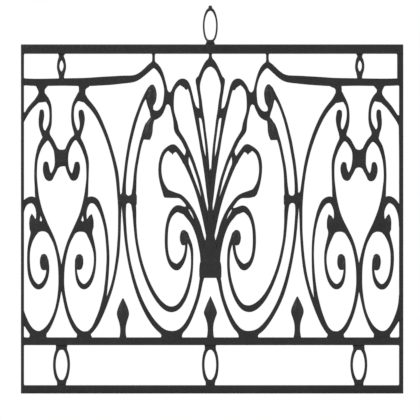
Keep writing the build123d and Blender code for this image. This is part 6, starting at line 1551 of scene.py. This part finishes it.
# ---- lyres ----------------------------------------------------------------------------------
for side in ("left", "right"):
    lo, hi = (IN_LEFT, 1e9) if side == "left" else (-1e9, IN_RIGHT)
    inners = {}
    for hand, s in (("inner", "R"), ("outer", "L")):
        cut = (lo, hi) if s == "L" else (-1e9, 1e9)
        arc = bar("arc_" + s, side, deep=16.0, swell=SLIT[side][1] if s == "R" else None)
        neck = bar("neck_" + s, side, deep=16.0)
        weld(neck, bar("upper_rail", side), 4.0, 0)
        inner = bar("inner_" + s, side, deep=16.0, tip=(1, 4), turn="hook_" + s)
        inners[s] = inner
        x, z, w = neck.points[-1]
        weld(arc, inner, 14.0, (x, z), 18.0)
        if s == "L":
            post, hold = (LEFT_POST, 3.4) if side == "left" else (RIGHT_POST, 2.0)
            weld(arc, post, hold, (-515.5, 770.0) if side == "left" else (509.0, 757.0), 20.0)
        forge("lyre_%s_%s_bow" % (side, hand),
              [arc, neck, inner, bar("hook_" + s, side, "leaf", 18.0, sink=(24, 0), tip=(5, 4), skip=(5, 0))]
              + ([Plate(TAIL, 16.0)] if (s, side) == ("L", "right") else []),
              bar_paint, BARS, *cut)
        stem = bar("bar_" + s, side, deep=16.5, tip=(5, 1))
        pad = bar("foot_" + s, side, deep=16.5)
        weld(pad, LOWER, 4.0, 1)
        knot = bar("collar_" + s, side, deep=16.5, skip=(6, 8), tip=(5, 5), most=17.0)
        x, z, w = knot.points[len(knot.points) // 2]
        weld(stem, inner, 4.5, (x, z), 26.0)
        out = 9.5 if (s == "R") == (side == "left") else -9.5
        weld(stem, inner, 11.0 if s == "R" else 16.0, (x + out, 704.5), 10.0)
        parts = [stem, pad, knot]
        if s == "L":
            low_arc = bar("arcb_L", side, deep=16.2)
            weld(low_arc, post, hold, (-515.5, 192.0) if side == "left" else (510.0, 205.0), 22.0)
            parts += [low_arc, bar("bowb_L", side, deep=15.8)]
        forge("lyre_%s_%s_stem" % (side, hand), parts, bar_paint, BARS, *cut)
        arch = bar("bow_" + s, side, deep=15.7)
        curl = bar("volute_" + s, side, deep=15.4, sink=(30, 16), point=(4, 1))
        bridge = bar("bridge_" + s, side, deep=15.2)
        bridge.join(0, stem, 6.0)
        weld(bridge, arch, 7.0, 0, 60.0)
        weld(bridge, curl, 5.0, 1, 60.0)
        forge("lyre_%s_%s_arch" % (side, hand),
              [arch, curl, bar("volute_" + s, side, "leaf", 18.0, rows=(0, 8), sink=(0, 20),
                               point=(4, 1)),
               bar("ball_" + s, side, "ball", 19.0, tip=(None, None), skip=(8, 8)), bridge],
              bar_paint, BARS, *cut)
    web = bar("heart", side, "soft", 15.0)
    at = CLASP[side]
    for s in ("R", "L"):
        weld(web, inners[s], 4.5 if (s, side) == ("R", "left") else 7.0,
             (at[0], (at[2] + at[3]) / 2), 40.0)
    clasp = straight((at[0], at[2]), (at[0], at[3]), at[1], COLLAR_DEPTH - 2.6,
                     bands=((at[2] - 8, at[2] + 1, 1.1), (at[3] - 1, at[3] + 8, 1.1)))
    forge("lyre_%s_clasp" % side, [web, clasp], cast_paint, CASTS, fine=2.0)

# ---- floor, light ---------------------------------------------------------------------------
floor_mesh = bpy.data.meshes.new("floor")
floor_mesh.from_pydata([(-30, -30, -0.0005), (30, -30, -0.0005), (30, 30, -0.0005),
                        (-30, 30, -0.0005)], [], [(0, 1, 2, 3)])
floor = bpy.data.objects.new("floor", floor_mesh)
scene_objects.link(floor)
floor_mat = bpy.data.materials.new("pale_floor")
floor_mat.use_nodes = True
fb = floor_mat.node_tree.nodes["Principled BSDF"]
fb.inputs["Base Color"].default_value = (0.80, 0.80, 0.79, 1)
fb.inputs["Roughness"].default_value = 0.75
fb.inputs["Specular IOR Level"].default_value = 0.2
floor_mesh.materials.append(floor_mat)

# a white studio: what lights the panel is brightest overhead and falls off towards the ground
world = bpy.data.worlds.new("studio")
bpy.context.scene.world = world
world.use_nodes = True
wt = world.node_tree
wn, wl = wt.nodes, wt.links
sky = wn["Background"]
way = wn.new("ShaderNodeTexCoord")
part_of = wn.new("ShaderNodeSeparateXYZ")
wl.new(way.outputs["Generated"], part_of.inputs["Vector"])
height = wn.new("ShaderNodeMapRange")
height.inputs["From Min"].default_value = -1.0
height.inputs["From Max"].default_value = 1.0
wl.new(part_of.outputs["Z"], height.inputs["Value"])
fall = wn.new("ShaderNodeValToRGB")
fall.color_ramp.interpolation = "EASE"
fall.color_ramp.elements[0].position = 0.38
fall.color_ramp.elements[0].color = (0.12, 0.12, 0.12, 1)
fall.color_ramp.elements[1].position = 0.90
fall.color_ramp.elements[1].color = (1.0, 1.0, 1.0, 1)
wl.new(height.outputs["Result"], fall.inputs["Fac"])
wl.new(fall.outputs["Color"], sky.inputs["Color"])
sky.inputs["Strength"].default_value = 0.86
wall = wn.new("ShaderNodeBackground")
wall.inputs["Color"].default_value = (1.0, 1.0, 1.0, 1)
wall.inputs["Strength"].default_value = 1.0
seen = wn.new("ShaderNodeLightPath")
pick = wn.new("ShaderNodeMixShader")
wl.new(seen.outputs["Is Camera Ray"], pick.inputs["Fac"])
wl.new(sky.outputs["Background"], pick.inputs[1])
wl.new(wall.outputs["Background"], pick.inputs[2])
wl.new(pick.outputs["Shader"], wn["World Output"].inputs["Surface"])


def softbox(name, at, towards, size, power):
    data = bpy.data.lights.new(name, "AREA")
    data.shape = "RECTANGLE"
    data.size, data.size_y = size
    data.energy = power
    o = bpy.data.objects.new(name, data)
    o.location = at
    o.rotation_euler = (Vector(towards) - Vector(at)).to_track_quat("-Z", "Y").to_euler()
    scene_objects.link(o)
    return o


softbox("key", (-2.4, -2.6, 2.6), (0, 0, 0.55), (1.5, 1.5), 75.0)
softbox("fill", (2.8, -2.4, 1.2), (0, 0, 0.5), (0.9, 2.0), 26.0)
softbox("back_key", (2.2, 2.6, 2.6), (0, 0, 0.55), (1.5, 1.5), 72.0)
softbox("back_fill", (-2.8, 2.2, 1.2), (0, 0, 0.5), (0.9, 2.0), 26.0)
bpy.context.scene.view_settings.view_transform = "Standard"
bpy.context.scene.view_settings.look = "None"

total = sum(len(p.vertices) - 2 for o in PIECES.values() for p in o.data.polygons)
print("triangles", total, "largest", max((sum(len(p.vertices) - 2 for p in o.data.polygons), n)
                                          for n, o in PIECES.items()))
